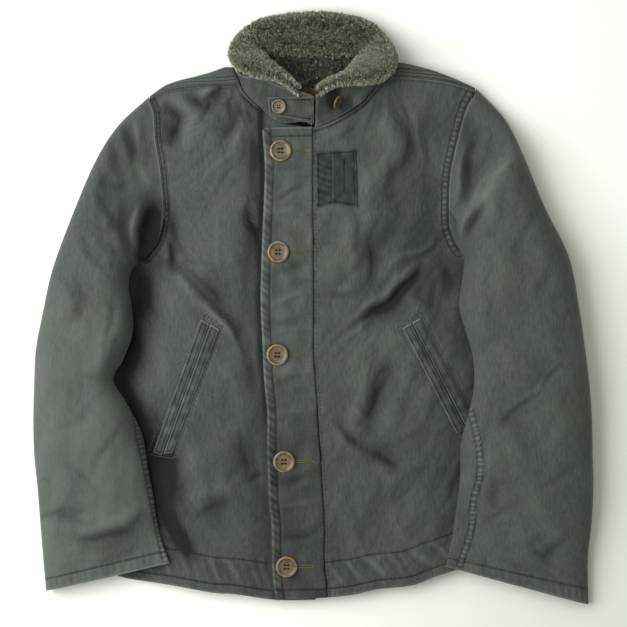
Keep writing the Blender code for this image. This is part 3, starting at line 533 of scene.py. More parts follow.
class Path:
    """A smooth line in plan, to measure from."""

    def __init__(self, points, per_span=8):
        self.points = dense_curve(points, per_span)
        self.lengths = lengths_of(self.points)

    def near(self, x, y):
        """Distance to the line, with its side as the sign, and the length along it at the nearest point."""
        best = np.full(np.shape(x), 1e9)
        where, side = np.zeros(np.shape(x)), np.ones(np.shape(x))
        for k in range(len(self.points) - 1):
            a, d = self.points[k], self.points[k + 1] - self.points[k]
            t = np.clip(((x - a[0]) * d[0] + (y - a[1]) * d[1]) / (d @ d), 0, 1)
            away = np.hypot(x - a[0] - t * d[0], y - a[1] - t * d[1])
            closer = away < best
            best = np.where(closer, away, best)
            where = np.where(closer, self.lengths[k] + t * (self.lengths[k + 1] - self.lengths[k]), where)
            side = np.where(closer, np.sign(d[0] * (y - a[1]) - d[1] * (x - a[0])), side)
        return best * side, where

    def beside(self, offset, step):
        """Points at an even step along the line, moved to one side of it."""
        count = max(2, int(round(self.lengths[-1] / step)))
        at = np.linspace(0, self.lengths[-1], count + 1)
        p = np.stack([np.interp(at, self.lengths, self.points[:, k]) for k in (0, 1)], axis=1)
        d = np.gradient(p, axis=0)
        d /= np.linalg.norm(d, axis=1, keepdims=True)
        return p + offset * np.stack([-d[:, 1], d[:, 0]], axis=1)


# Unevenness

def wander(a, seed, shortest=22.0, longest=90.0):
    """An uneven wave along a line, from about -1 to 1."""
    rng = np.random.default_rng(seed)
    total = np.zeros(np.shape(a))
    for _ in range(5):
        wavelength = rng.uniform(shortest, longest)
        total = total + np.sin(2 * math.pi * (a / wavelength + rng.random()))
    return total / 2.6


def rumple(x, y, seed, wavelength, stretch=1.0, lean=0.0):
    """Soft uneven hills over a plane, longer along the direction that lean turns from +Y."""
    rng = np.random.default_rng(seed)
    u = x * math.cos(lean) + y * math.sin(lean)
    v = (-x * math.sin(lean) + y * math.cos(lean)) / stretch
    total = np.zeros(np.shape(x))
    for _ in range(14):
        turn, size = rng.uniform(0, 2 * math.pi), wavelength * rng.uniform(0.7, 1.6)
        total = total + np.sin(2 * math.pi * (u * math.cos(turn) + v * math.sin(turn)) / size
                               + rng.uniform(0, 2 * math.pi))
    return total / 3.8


def crease_depth(x, y, creases, sharp=0.0):
    """The depth of troughs, and of ridges with a minus sign, at plan points. sharp pinches their middle."""
    total = np.zeros(np.broadcast(x, y).shape)
    for row in creases:
        c = dict(zip(CREASE_COLUMNS, row))
        dx, dy = c["x1"] - c["x0"], c["y1"] - c["y0"]
        share = ((x - c["x0"]) * dx + (y - c["y0"]) * dy) / (dx * dx + dy * dy)
        held = np.clip(share, 0, 1)
        away = np.hypot(x - c["x0"] - held * dx, y - c["y0"] - held * dy) / c["width"]
        fade = 0.35 + 0.65 * np.sin(math.pi * held)
        soft = (1 - 0.7 * away ** 2) * np.exp(-away ** 2)
        pinched = np.exp(-1.8 * away) - 0.3 * bell(away, 1.4, 0.6)
        total += c["depth"] * fade * ((1 - sharp) * soft + sharp * pinched)
    return total


def bent_creases(x, y, creases, seed, sharp=0.75):
    """The same creases, with wandering lines instead of straight ones."""
    bend_x = 3.0 * rumple(x, y, seed, 60)
    bend_y = 3.0 * rumple(x, y, seed + 1, 60)
    return crease_depth(x + bend_x, y + bend_y, creases, sharp)


def pressed_folds(x, y, folds):
    """The depth of folds that have one steep wall and one long one, fading out at both ends."""
    total = np.zeros(np.broadcast(x, y).shape)
    for row in folds:
        fold = dict(zip(FOLD_COLUMNS, row))
        path = Path(fold["line"], 5)
        d, a = path.near(x + 1.5 * rumple(x, y, 15, 40), y + 1.5 * rumple(x, y, 16, 40))
        wall = np.where(d > 0, fold["steep"], fold["long"])
        fade = np.sin(math.pi * np.clip(a / path.lengths[-1], 0, 1)) ** 0.7
        ridge = bell(d, 2.2 * fold["steep"], 1.2 * fold["steep"])
        total += fold["depth"] * fade * (np.exp(-(np.abs(d) / wall) ** 1.4) - 0.35 * ridge)
    return total


def crinkle(x, y, seed, wavelength, stretch, lean):
    """A net of thin shallow lines where cloth has been pressed together, deeper in some places, 0 to 1."""
    lines = (1 - np.minimum(1, np.abs(rumple(x, y, seed, wavelength, stretch, lean)))) ** 6
    where = np.clip(0.45 + 0.8 * rumple(x, y, seed + 1, 75), 0, 1)
    return lines * where


def sewn(distance, length, seed, trough=0.55, width=1.1, pucker=0.35, pitch=6.0, reach=6.0, slant=0.0):
    """The trough of a row of stitches, with the uneven puckers that it draws up beside it."""
    valley = -trough * bell(distance, 0, width)
    phase = 2 * math.pi * ((length + slant * distance) / pitch + 0.5 * wander(length, seed, 14, 60))
    strength = pucker * (0.6 + 0.4 * wander(length, seed + 1, 20, 80))
    return valley + strength * np.sin(phase) * bell(distance, 0, reach)


def groove(distance, width=0.9):
    """How dark the cloth has stayed in the groove of a row of stitches, from 0 to 1."""
    return bell(distance, 0, width)


def ladder(length, seed, pitch=6.0):
    """The evenly drawn-up bumps of a felled seam, from 0 to 1."""
    return 0.5 + 0.5 * np.sin(2 * math.pi * (length / pitch + 0.25 * wander(length, seed, 14, 60)))


# The body's surface

def edge_x(y, hand):
    return at_y(ARMHOLE[hand] + SIDE[hand][1:], y)


def front_height(x, y):
    x, y = np.asarray(x, float), np.asarray(y, float)
    column = dict(zip(FRONT_COLUMNS, np.array(FRONT_ROWS, float).T))
    crown, edge, slope = (np.interp(y, column["y"], column[key]) for key in FRONT_COLUMNS[1:])
    inside = np.minimum(x - edge_x(y, "right"), edge_x(y, "left") - x)
    z = edge + (crown - edge) * smooth(inside / slope)
    near_middle = smooth((np.abs(x + 24) - 34) / 26)
    off_edge = smooth(inside / 24)
    z = z - crease_depth(x, y, FRONT_CREASES) * near_middle * off_edge
    return np.maximum(z, edge)


def under_placket(x, y):
    """How much lower the right front lies than the placket's surface."""
    into = x - at_y(PLACKET_EDGE, np.clip(y, PLACKET_EDGE[-1][1], PLACKET_EDGE[0][1]))
    drop = (PLACKET + UNDER_PLACKET_GAP) * smooth((into + 30) / 26)
    sag = smooth((y + 345) / 60) * smooth((216 - y) / 30) * (0.75 + 0.25 * wander(y, 75, 60, 160))
    dip = (4.5 * bell(into, -7, 12) + 2.5 * bell(into, -1, 5)) * sag
    return drop + dip, into


ARMHOLE_PATH = {hand: Path(points) for hand, points in ARMHOLE.items()}
HEM_PATH = {hand: Path(points) for hand, points in HEM.items()}
NECK_PATH = {hand: Path(points) for hand, points in NECKLINE.items()}
SHOULDER_PATH = {hand: Path(points) for hand, points in SHOULDER_SEAM.items()}
EDGE_PATH = Path(PLACKET_EDGE[::-1])
SEAM_PATH = Path(PLACKET_SEAM)
POCKET_PATH = {
    "right": Path([(-130, -8), (-109, -22), (-169, -181), (-201, -176), (-130, -8)], 1),
    "left": Path([(100, -22), (129, -6), (196, -133), (177, -160), (100, -22)], 1),
}


def ripple(x, y, seed, pitch, lean):
    """Fine drawn lines that run side by side along the cloth and wander, as worn sateen has."""
    u = x * math.cos(lean) + y * math.sin(lean)
    v = -x * math.sin(lean) + y * math.cos(lean)
    warp = 3.2 * rumple(x, y, seed, 48) + 1.2 * rumple(x, y, seed + 1, 21)
    where = np.clip(0.35 + 0.75 * rumple(x, y, seed + 2, 60), 0, 1)
    strength = 0.6 + 0.4 * np.sin(v / 9.0 + rumple(x, y, seed + 3, 30))
    return np.sin(2 * math.pi * (u + warp) / pitch) * strength * where


def body_relief(x, y, hand):
    """Everything finer than one front's large folds, and its colour marks: creases, felled seams and hems,
    with painted light and shade.
    """
    creases = bent_creases(x, y, FINE_CREASES, 11)
    folds = pressed_folds(x, y, FRONT_FOLDS)
    if hand == "right":
        hill_lean, fine_lean, net_lean, shine = 0.35, 0.5, 0.5, 0.13
        high = smooth((y - 110) / 90)
        lines = high * ripple(x, y, 23, 5.2, -0.72) + (1 - high) * ripple(x, y, 26, 5.2, 0.75)
    else:
        hill_lean, fine_lean, net_lean, shine = -0.3, -0.5, -0.6, 0.09
        lines = ripple(x, y, 27, 4.8, 0.35)
    hills = rumple(x, y, 21, 34, 2.2, hill_lean)
    z = -1.3 * creases + 1.1 * hills + 0.25 * rumple(x, y, 22, 13, 1.8, fine_lean)
    net = crinkle(x, y, 25, 40, 2.4, net_lean) + crinkle(x, y, 28, 26, 2.0, -0.2)
    z = z + 0.3 * lines - 0.6 * net - folds
    # Painted shade in the creases, the crinkled lines and the folds, painted highlight on their ridges, and
    # painted shade towards the hem and along the painted-shade lines
    wear_and_painted_light = 0.06 * hills + shine * lines - 0.16 * np.clip(creases, -2, 2) + 0.06 * rumple(x, y, 24, 60)
    wear_and_painted_light = wear_and_painted_light - 0.14 * net - 0.13 * smooth((-50 - y) / 100) - crease_depth(x, y, FRONT_PAINTED_SHADE)
    wear_and_painted_light = wear_and_painted_light - 0.23 * np.clip(folds, -2, 5)

    d, a = ARMHOLE_PATH[hand].near(x, y)
    d = np.abs(d)
    plain, wide = (1.0, 8.2) if hand == "left" else (0.5, 6.0)
    band = bell(d, 0.58 * wide, 0.32 * wide, 4)
    bumps = ladder(a, 31, 6.2)
    z += plain * band * (bumps - 0.3)
    z += sewn(d - 1.5, a, 32, 0.9, 1.0, 0.0) + sewn(d - wide, a, 33, 0.9, 1.1, 0.5 * plain, 6.2, 5.0)
    wear_and_painted_light += plain * band * (0.85 * bumps ** 2 - 0.3) - (1 - plain) * band * 0.5
    wear_and_painted_light += 0.5 * plain * bell(d, 10.3, 0.8) * ladder(a, 34)
    wear_and_painted_light -= 0.9 * groove(d - 1.5) + 0.7 * groove(d - wide)

    d, a = HEM_PATH[hand].near(x, y)
    d = np.abs(d)
    z += sewn(d - 11.0, a, 41, 0.8, 1.2, 0.45, 8.5, 5.0, 0.5)
    z += sewn(d - 43.0, a, 42, 0.8, 1.2, 0.7, 12.0, 9.0)
    pucker = wander(a + 0.6 * d, 43, 12, 34)
    z += 1.3 * bell(d, 27, 15, 4) * (0.3 + pucker)
    wear_and_painted_light += 0.26 * bell(d, 27, 15, 4) * pucker
    wear_and_painted_light += 0.8 * bell(d, 0, 1.8) - 0.8 * groove(d - 11.0) - 0.7 * groove(d - 43.0)
    wear_and_painted_light += 0.5 * bell(d, 5.0, 4.0) * (ladder(a + 2 * d, 44, 9.0) - 0.45)

    d, a = SHOULDER_PATH[hand].near(x, y)
    z += 0.6 * bell(d, 0, 1.8)
    pale = 0.7 if hand == "left" else -0.4
    wear_and_painted_light += pale * bell(d, 0, 1.2) - 0.4 * groove(np.abs(d) - 3.0)

    d, a = NECK_PATH[hand].near(x, y)
    d = np.abs(d)
    z += 3.2 * bell(d, 1.6, 1.9, 4) + sewn(d - 4.6, a, 51, 0.6, 1.2, 0.4, 6.0, 5.0)
    wear_and_painted_light += 0.3 * bell(d, 2.4, 0.9) - 0.6 * groove(d - 4.8)

    d, a = POCKET_PATH[hand].near(x, y)
    z += sewn(d, a, 61, 0.6, 1.0, 0.14, 7.0, 4.5)
    wear_and_painted_light += 0.3 * np.exp(-((np.abs(d) - 1.7) / 0.8) ** 2) - 0.7 * groove(d)

    if hand == "left":
        d, a = SEAM_PATH.near(x, y)
        d = np.abs(d)
        z += sewn(d - 3.2, a, 71, 0.4, 1.0, 0.45, 9.0, 6.0) - 0.8 * bell(d, 0, 1.6)
        wear_and_painted_light += 0.4 * bell(d, 3.0, 2.6) * (ladder(a, 72, 5.0) - 0.5)
        wear_and_painted_light -= 0.4 * groove(d - 0.5, 1.3)
    return z, wear_and_painted_light


def settle(x, y):
    """Fades relief out at the body's outline, where the cloth is held flat."""
    inside = np.minimum(x - edge_x(y, "right"), edge_x(y, "left") - x)
    return smooth(inside / 12) * 0.75 + 0.25


def left_front_surface(x, y):
    z, wear_and_painted_light = body_relief(x, y, "left")
    return front_height(x, y) + z * settle(x, y), wear_and_painted_light


def right_front_surface(x, y):
    z, wear_and_painted_light = body_relief(x, y, "right")
    drop, into = under_placket(x, y)
    free = smooth((2 - into) / 12)
    shade = (0.5 + 0.5 * smooth((y + 160) / 40)) * bell(into, -1.5, 4.5)
    shade = shade + 0.4 * smooth((y - 30) / 60) * bell(into, -10, 10)
    return np.maximum(front_height(x, y) + z * settle(x, y) * free - drop, 5.8), wear_and_painted_light * free - shade


def placket_surface(x, y):
    """The placket, with its puckered edge, its top stitching and the drag lines between its buttons."""
    creases = bent_creases(x, y, PLACKET_CREASES, 81)
    hills = rumple(x, y, 82, 22, 1.4)
    z = -2.4 * creases + 0.6 * hills
    # Painted shade in the drag lines and towards the placket's foot, painted highlight on their ridges
    wear_and_painted_light = 0.10 * hills - 0.34 * creases + 0.08 * rumple(x, y, 89, 50) - 0.42 * smooth((-60 - y) / 120)
    d, a = EDGE_PATH.near(x, y)
    d = np.abs(d)
    edge_band = smooth((11 - d) / 3)
    slanted = ladder(a + 0.7 * d, 84, 9.8)
    z += sewn(d - 10.4, a, 83, 1.1, 1.2, 0.0)
    z += 1.1 * edge_band * (slanted - 0.5) * (0.7 + 0.3 * wander(a, 85))
    z += 0.5 * bell(d, 12.5, 3.0) * (ladder(a, 90, 9.0) - 0.5)
    z -= 0.9 * bell(d, 0, 1.2)
    wear_and_painted_light += 0.9 * bell(d, 0.9, 1.3) + edge_band * (0.55 * slanted - 0.4)
    wear_and_painted_light -= 0.8 * groove(d - 10.4)
    top = PLACKET_TOP + 0.7 - y
    z += sewn(top - 10.5, x, 87, 0.9, 1.2, 0.6, 8.0, 4.0) - 0.8 * bell(top, 0, 1.3)
    wear_and_painted_light += 0.7 * bell(top, 0.8, 1.3) - 0.7 * groove(top - 10.5)
    foot = y + 351
    z += sewn(foot - 11.0, x, 88, 0.8, 1.2, 0.4, 8.0, 4.0)
    wear_and_painted_light += 0.7 * bell(foot, 0, 1.5) - 0.7 * groove(foot - 11.0)
    d, a = SEAM_PATH.near(x, y)
    d = np.abs(d)
    pulled = ladder(a, 92, 5.0)
    z += (0.7 * pulled - 0.2) * bell(d, 5.0, 3.0) - 1.1 * bell(d, 0, 1.6)
    wear_and_painted_light += -0.8 * groove(d, 1.4) + 0.25 * (pulled - 0.4) * bell(d, 4.0, 3.0)
    return front_height(x, y) + z, wear_and_painted_light


# Meshes

def squares(at):
    """The corners of each square in a grid of point numbers."""
    return np.stack([at[:-1, :-1], at[:-1, 1:], at[1:, 1:], at[1:, :-1]], axis=-1)


def squares_round(at):
    """The same where the grid's last column joins its first."""
    return squares(np.concatenate([at, at[:, :1]], axis=1))


def flip_to_face_out(points, faces):
    a, b, c = (points[faces[:, k]] for k in (0, 1, 2))
    volume = np.einsum("ij,ij->", a, np.cross(b, c))
    if faces.shape[1] == 4:
        volume += np.einsum("ij,ij->", a, np.cross(c, points[faces[:, 3]]))
    return faces if volume > 0 else faces[:, ::-1]


def mesh_object(name, points, faces, look, marks=None, soft=True):
    """A mesh from points in millimetres. marks holds one number for each point, by name."""
    points = (np.asarray(points, float) - CENTRE) * MM
    faces = np.asarray(faces)
    sides = faces.shape[1]
    mesh = bpy.data.meshes.new(name)
    mesh.vertices.add(len(points))
    mesh.vertices.foreach_set("co", points.astype(np.float32).ravel())
    mesh.loops.add(faces.size)
    mesh.loops.foreach_set("vertex_index", faces.astype(np.int32).ravel())
    mesh.polygons.add(len(faces))
    mesh.polygons.foreach_set("loop_start", np.arange(0, faces.size, sides, dtype=np.int32))
    mesh.update(calc_edges=True)
    for key, values in (marks or {}).items():
        layer = mesh.attributes.new(key, "FLOAT", "POINT")
        layer.data.foreach_set("value", np.clip(values, -1, 1).astype(np.float32))
    if soft:
        mesh.shade_smooth()
    mesh.materials.append(look)
    made = bpy.data.objects.new(name, mesh)
    bpy.context.scene.collection.objects.link(made)
    return made


def sheet_mesh(name, outer, inner, look, wear_and_painted_light, drawn=None):
    """A thin closed shell between two grids. drawn says which of the grid's squares there are."""
    rows, columns = outer.shape[:2]
    n = rows * columns
    quads = squares(np.arange(n).reshape(rows, columns))
    drawn = np.ones(quads.shape[:2], bool) if drawn is None else drawn
    padded = np.pad(drawn, 1)
    faces = [quads[drawn], quads[drawn][:, ::-1] + n]
    for k, (di, dj) in enumerate(((-1, 0), (0, 1), (1, 0), (0, -1))):
        alone = drawn & ~padded[1 + di:rows + di, 1 + dj:columns + dj]
        a, b = quads[alone][:, k], quads[alone][:, (k + 1) % 4]
        faces.append(np.stack([b, a, a + n, b + n], axis=1))
    faces = np.concatenate(faces)
    points = np.concatenate([outer.reshape(-1, 3), inner.reshape(-1, 3)])
    wear_and_painted_light = np.concatenate([np.ravel(wear_and_painted_light), np.ravel(wear_and_painted_light) * 0.3])
    used = np.unique(faces)
    renumber = np.full(2 * n, -1)
    renumber[used] = np.arange(len(used))
    faces = flip_to_face_out(points, faces)
    return mesh_object(name, points[used], renumber[faces], look, {"wear_and_painted_light": wear_and_painted_light[used]})


def rim_faces(outer, inner):
    """Triangles between an outer loop and an inner one with half as many points."""
    even, odd, nxt = outer[0::2], outer[1::2], np.roll(outer[0::2], -1)
    near, far = inner, np.roll(inner, -1)
    corners = ((odd, even, near), (odd, near, far), (nxt, odd, far))
    return np.concatenate([np.stack(three, axis=1) for three in corners])


def halves(quads):
    quads = quads.reshape(-1, 4)
    return np.concatenate([quads[:, [0, 1, 2]], quads[:, [0, 2, 3]]])


def thin_mesh(name, outer, inner, look, wear_and_painted_light, tube):
    """A thin closed shell, or a tube open at both ends. Its inner side has every second row and column."""
    inner, inner_wear_and_painted_light = inner[::2, ::2], 0.3 * wear_and_painted_light[::2, ::2]
    outer_at = np.arange(wear_and_painted_light.size).reshape(wear_and_painted_light.shape)
    inner_at = np.arange(inner_wear_and_painted_light.size).reshape(inner_wear_and_painted_light.shape) + wear_and_painted_light.size
    grids = (outer_at, inner_at)
    if tube:
        sides = [halves(squares_round(at)) for at in grids]
        rims = [rim_faces(outer_at[0], inner_at[0]), rim_faces(outer_at[-1], inner_at[-1])[:, ::-1]]
    else:
        sides = [halves(squares(at)) for at in grids]
        rims = [rim_faces(*(np.concatenate([at[0, :-1], at[:-1, -1], at[-1, :0:-1], at[:0:-1, 0]])
                            for at in grids))]
    points = np.concatenate([outer.reshape(-1, 3), inner.reshape(-1, 3)])
    faces = flip_to_face_out(points, np.concatenate([sides[0], sides[1][:, ::-1], *rims]))
    marks = {"wear_and_painted_light": np.concatenate([wear_and_painted_light.ravel(), inner_wear_and_painted_light.ravel()])}
    return mesh_object(name, points, faces, look, marks)


def shell_mesh(name, outer, inner, look, wear_and_painted_light):
    return thin_mesh(name, outer, inner, look, wear_and_painted_light, tube=False)


def tube_mesh(name, outer, inner, look, wear_and_painted_light):
    return thin_mesh(name, outer, inner, look, wear_and_painted_light, tube=True)


def tree_of(obj):
    mesh = obj.data
    points = np.empty(len(mesh.vertices) * 3, np.float32)
    mesh.vertices.foreach_get("co", points)
    return BVHTree.FromPolygons(points.reshape(-1, 3).tolist(), [p.vertices[:] for p in mesh.polygons])


def drop_on(tree, x, y):
    """Height and upward normal of the highest surface under a plan point, or None beside it."""
    start = Vector(((x - CENTRE[0]) * MM, (y - CENTRE[1]) * MM, 1.0))
    hit, normal, _, _ = tree.ray_cast(start, Vector((0, 0, -1)))
    if hit is None:
        return None
    return hit.z / MM, np.array(normal if normal.z > 0 else -normal)


def thickness_down(upper, thickness, lowest=0.0):
    normal = np.cross(np.gradient(upper, axis=1), np.gradient(upper, axis=0))
    lean = np.abs(normal[..., 2]) / np.linalg.norm(normal, axis=-1)
    lower = upper.copy()
    lower[..., 2] = np.maximum(lower[..., 2] - thickness / np.clip(lean, 0.6, 1), lowest)
    return lower


# The cloth pieces

# Rows and columns are closer together where there is sewing: (reach, spacing) from each end, and the rest
SIDE_ZONES = ([(16, 1.4), (38, 4.0), (49, 1.4)], [], 2.2)
ARMHOLE_ZONES = ([], [(14, 1.5)], 2.1)
WIDTH_ZONES = ([(8, 1.2)], [(13, 1.1)], 2.1)


def side_and_armhole(hand, side_shares, armhole_shares):
    side = along(SIDE[hand][::-1], side_shares)
    armhole = along(ARMHOLE[hand][::-1], armhole_shares)
    return np.vstack([side, armhole[1:]])


def middle_rows(points, hand, side_shares, armhole_shares):
    underarm = ARMHOLE[hand][-1][1]
    foot = points[-1][1]
    ys = np.concatenate([foot + (underarm - foot) * side_shares,
                         underarm + (points[0][1] - underarm) * armhole_shares[1:]])
    return np.stack([at_y(points, ys), ys], axis=1)


def build_front(hand, look):
    shares = graded(265, WIDTH_ZONES)
    neckline, seam = dense_curve(NECKLINE[hand]), dense_curve(SHOULDER_SEAM[hand])
    whole = np.vstack([neckline, seam[1:]])
    share = shares_of(whole)
    top = np.stack([np.interp(shares, share, whole[:, k]) for k in (0, 1)], axis=1)
    hem = along(HEM[hand], shares if hand == "left" else 1 - shares[::-1])
    sides = (graded(380, SIDE_ZONES), graded(200, ARMHOLE_ZONES))
    outside = side_and_armhole(hand, *sides)
    if hand == "left":
        plan = patch_between(hem, top, middle_rows(PLACKET_SEAM, hand, *sides), outside)
        z, wear_and_painted_light = left_front_surface(plan[..., 0], plan[..., 1])
    else:
        plan = patch_between(hem, top[::-1], outside, middle_rows(STAND_EDGE, hand, *sides))
        z, wear_and_painted_light = right_front_surface(plan[..., 0], plan[..., 1])
    upper = raised(plan, z)
    lower = thickness_down(upper, SHELL_WALL, CLOTH + SEAM_GAP)
    return shell_mesh("front_%s_cloth" % hand, upper, lower, look, wear_and_painted_light)


def build_placket(look):
    columns, corner = 36, 5.0
    head, foot = PLACKET_TOP, PLACKET_SEAM[-1][1]
    ys = np.concatenate([np.linspace(foot, head - corner, 291), np.linspace(head - corner, head, 11)[1:]])
    seam = np.stack([at_y(PLACKET_SEAM, ys) - SEAM_GAP, ys + 1.5 * smooth((ys - 180) / 30)], axis=1)
    edge = np.stack([at_y(PLACKET_EDGE, ys), ys], axis=1)
    edge[:, 0] += corner - np.sqrt(corner ** 2 - np.maximum(ys - head + corner, 0) ** 2)
    edge[0] = PLACKET_EDGE[-1]
    bottom = np.linspace(edge[0], seam[0], columns + 1)
    top = np.linspace(edge[-1], seam[-1], columns + 1)
    plan = patch_between(bottom, top, edge, seam)
    z, wear_and_painted_light = placket_surface(plan[..., 0], plan[..., 1])
    upper = raised(plan, z)
    lower = thickness_down(raised(plan, front_height(plan[..., 0], plan[..., 1])), PLACKET, 0)
    lower[..., 2] = np.minimum(lower[..., 2], upper[..., 2] - 1.2)
    return shell_mesh("placket_cloth", upper, lower, look, wear_and_painted_light)


def build_back(look):
    roll_rows, shoulder, neck = 44, 44, 24
    side_rows, armhole_rows = np.linspace(0, 1, 35), np.linspace(0, 1, 23)
    seam_r = evenly(SHOULDER_SEAM["right"][::-1], shoulder)
    seam_l = evenly(SHOULDER_SEAM["left"], shoulder)
    top = np.vstack([seam_r, evenly(BACK_NECK, neck)[1:-1], seam_l])
    columns = len(top) - 1
    hem = [HEM["right"][0], (-122, -343), (-20, -351), (50, -345), (148, -323), HEM["left"][-1]]
    hem = evenly(hem, columns)
    hem = hem + np.array([0, 2.0]) * np.sin(np.linspace(0, math.pi, columns + 1))[:, None]
    plan = patch_between(hem, top, side_and_armhole("right", side_rows, armhole_rows),
                         side_and_armhole("left", side_rows, armhole_rows))
    flat_rows = len(plan)
    x, y = plan[..., 0], plan[..., 1]
    inside = np.minimum(x - edge_x(y, "right"), edge_x(y, "left") - x)
    lift = np.maximum(0, 1.1 * rumple(x, y, 91, 70, 2.0, 0.4) - 0.3) * smooth(inside / 30)
    low, high = raised(plan, lift), raised(plan, lift + SHELL_WALL)
    wear_and_painted_light = 0.15 + 0.15 * rumple(x, y, 92, 40)

    reach = np.full(columns + 1, 10.0)
    share = SHOULDER_ROLL["share"]
    reach[:shoulder + 1] = np.interp(np.linspace(1, 0, shoulder + 1), share, SHOULDER_ROLL["right"])
    reach[-shoulder - 1:] = np.interp(np.linspace(0, 1, shoulder + 1), share, SHOULDER_ROLL["left"])
    height = front_height(top[:, 0], top[:, 1])
    length = lengths_of(top)
    for angle in np.linspace(-90, 90, roll_rows + 1)[1:]:
        c, s = math.cos(math.radians(angle)), math.sin(math.radians(angle))
        from_seam = reach * c if s > 0 else np.full(columns + 1, 99.0)
        z_detail = sum(sewn(from_seam - row, length, 95 + k, 0.7, 0.9, 0.3, 5.5, 2.2)
                       for k, row in enumerate(SHOULDER_STITCHES))
        rows_show = np.where(top[:, 0] > -40, 1.0, 0.35 + 0.65 * smooth((top[:, 0] + 150) / 50))
        z_detail = z_detail * smooth((angle - 10) / 25) * rows_show
        outer = np.stack([top[:, 0], top[:, 1] + SEAM_GAP + reach * c,
                          0.5 * height * (1 + s) + z_detail], axis=1)
        inner = np.stack([top[:, 0], top[:, 1] + SEAM_GAP + (reach - SHELL_WALL) * c,
                          SHELL_WALL + (0.5 * height - SHELL_WALL) * (1 + s)], axis=1)
        low, high = np.concatenate([low, outer[None]]), np.concatenate([high, inner[None]])
        shine = sum(0.3 * bell(from_seam - row, 1.8, 0.9) - 0.5 * groove(from_seam - row)
                    for row in SHOULDER_STITCHES)
        wear_and_painted_light = np.concatenate([wear_and_painted_light, (0.05 + shine * rows_show * (s > 0))[None]])
    drawn = np.ones((len(low) - 1, columns), bool)
    drawn[flat_rows - 1:, shoulder:columns - shoulder] = False
    return sheet_mesh("back_cloth", low, high, look, wear_and_painted_light, drawn)


def distance_outside(x, y, outline):
    away = np.full(x.shape, 1e9)
    within = np.zeros(x.shape, bool)
    for a, b in zip(outline, np.roll(outline, -1, axis=0)):
        d = b - a
        t = np.clip(((x - a[0]) * d[0] + (y - a[1]) * d[1]) / max(d @ d, 1e-9), 0, 1)
        away = np.minimum(away, np.hypot(x - a[0] - t * d[0], y - a[1] - t * d[1]))
        crosses = (a[1] > y) != (b[1] > y)
        within ^= crosses & (x < a[0] + (y - a[1]) * d[0] / (d[1] if d[1] else 1e-9))
    return np.where(within, 0.0, away)


BODY_OUTLINE = np.vstack([
    evenly(ARMHOLE["right"], 16), evenly(SIDE["right"], 16), evenly(HEM["right"], 8),
    evenly(HEM["left"], 8), evenly(SIDE["left"][::-1], 16), evenly(ARMHOLE["left"][::-1], 16),
])


def under_sleeve(x, y, clearance):
    away = distance_outside(x, y, BODY_OUTLINE)
    return (front_height(x, y) + clearance) * (1 - smooth((away - 4) / 22))


SLEEVE_SEAM = {
    "right": Path([(-215, -124), (-202, -186), (-192, -239), (-182, -289), (-177, -306)]),
    "left": Path([(187, -120), (196, -160), (199, -196), (191, -232), (188, -268), (178, -301), (174, -313)]),
}
SLEEVE_ZONES = ([(10, 1.2)], [(20, 1.3)], 2.5)
HALF_AROUND = 76


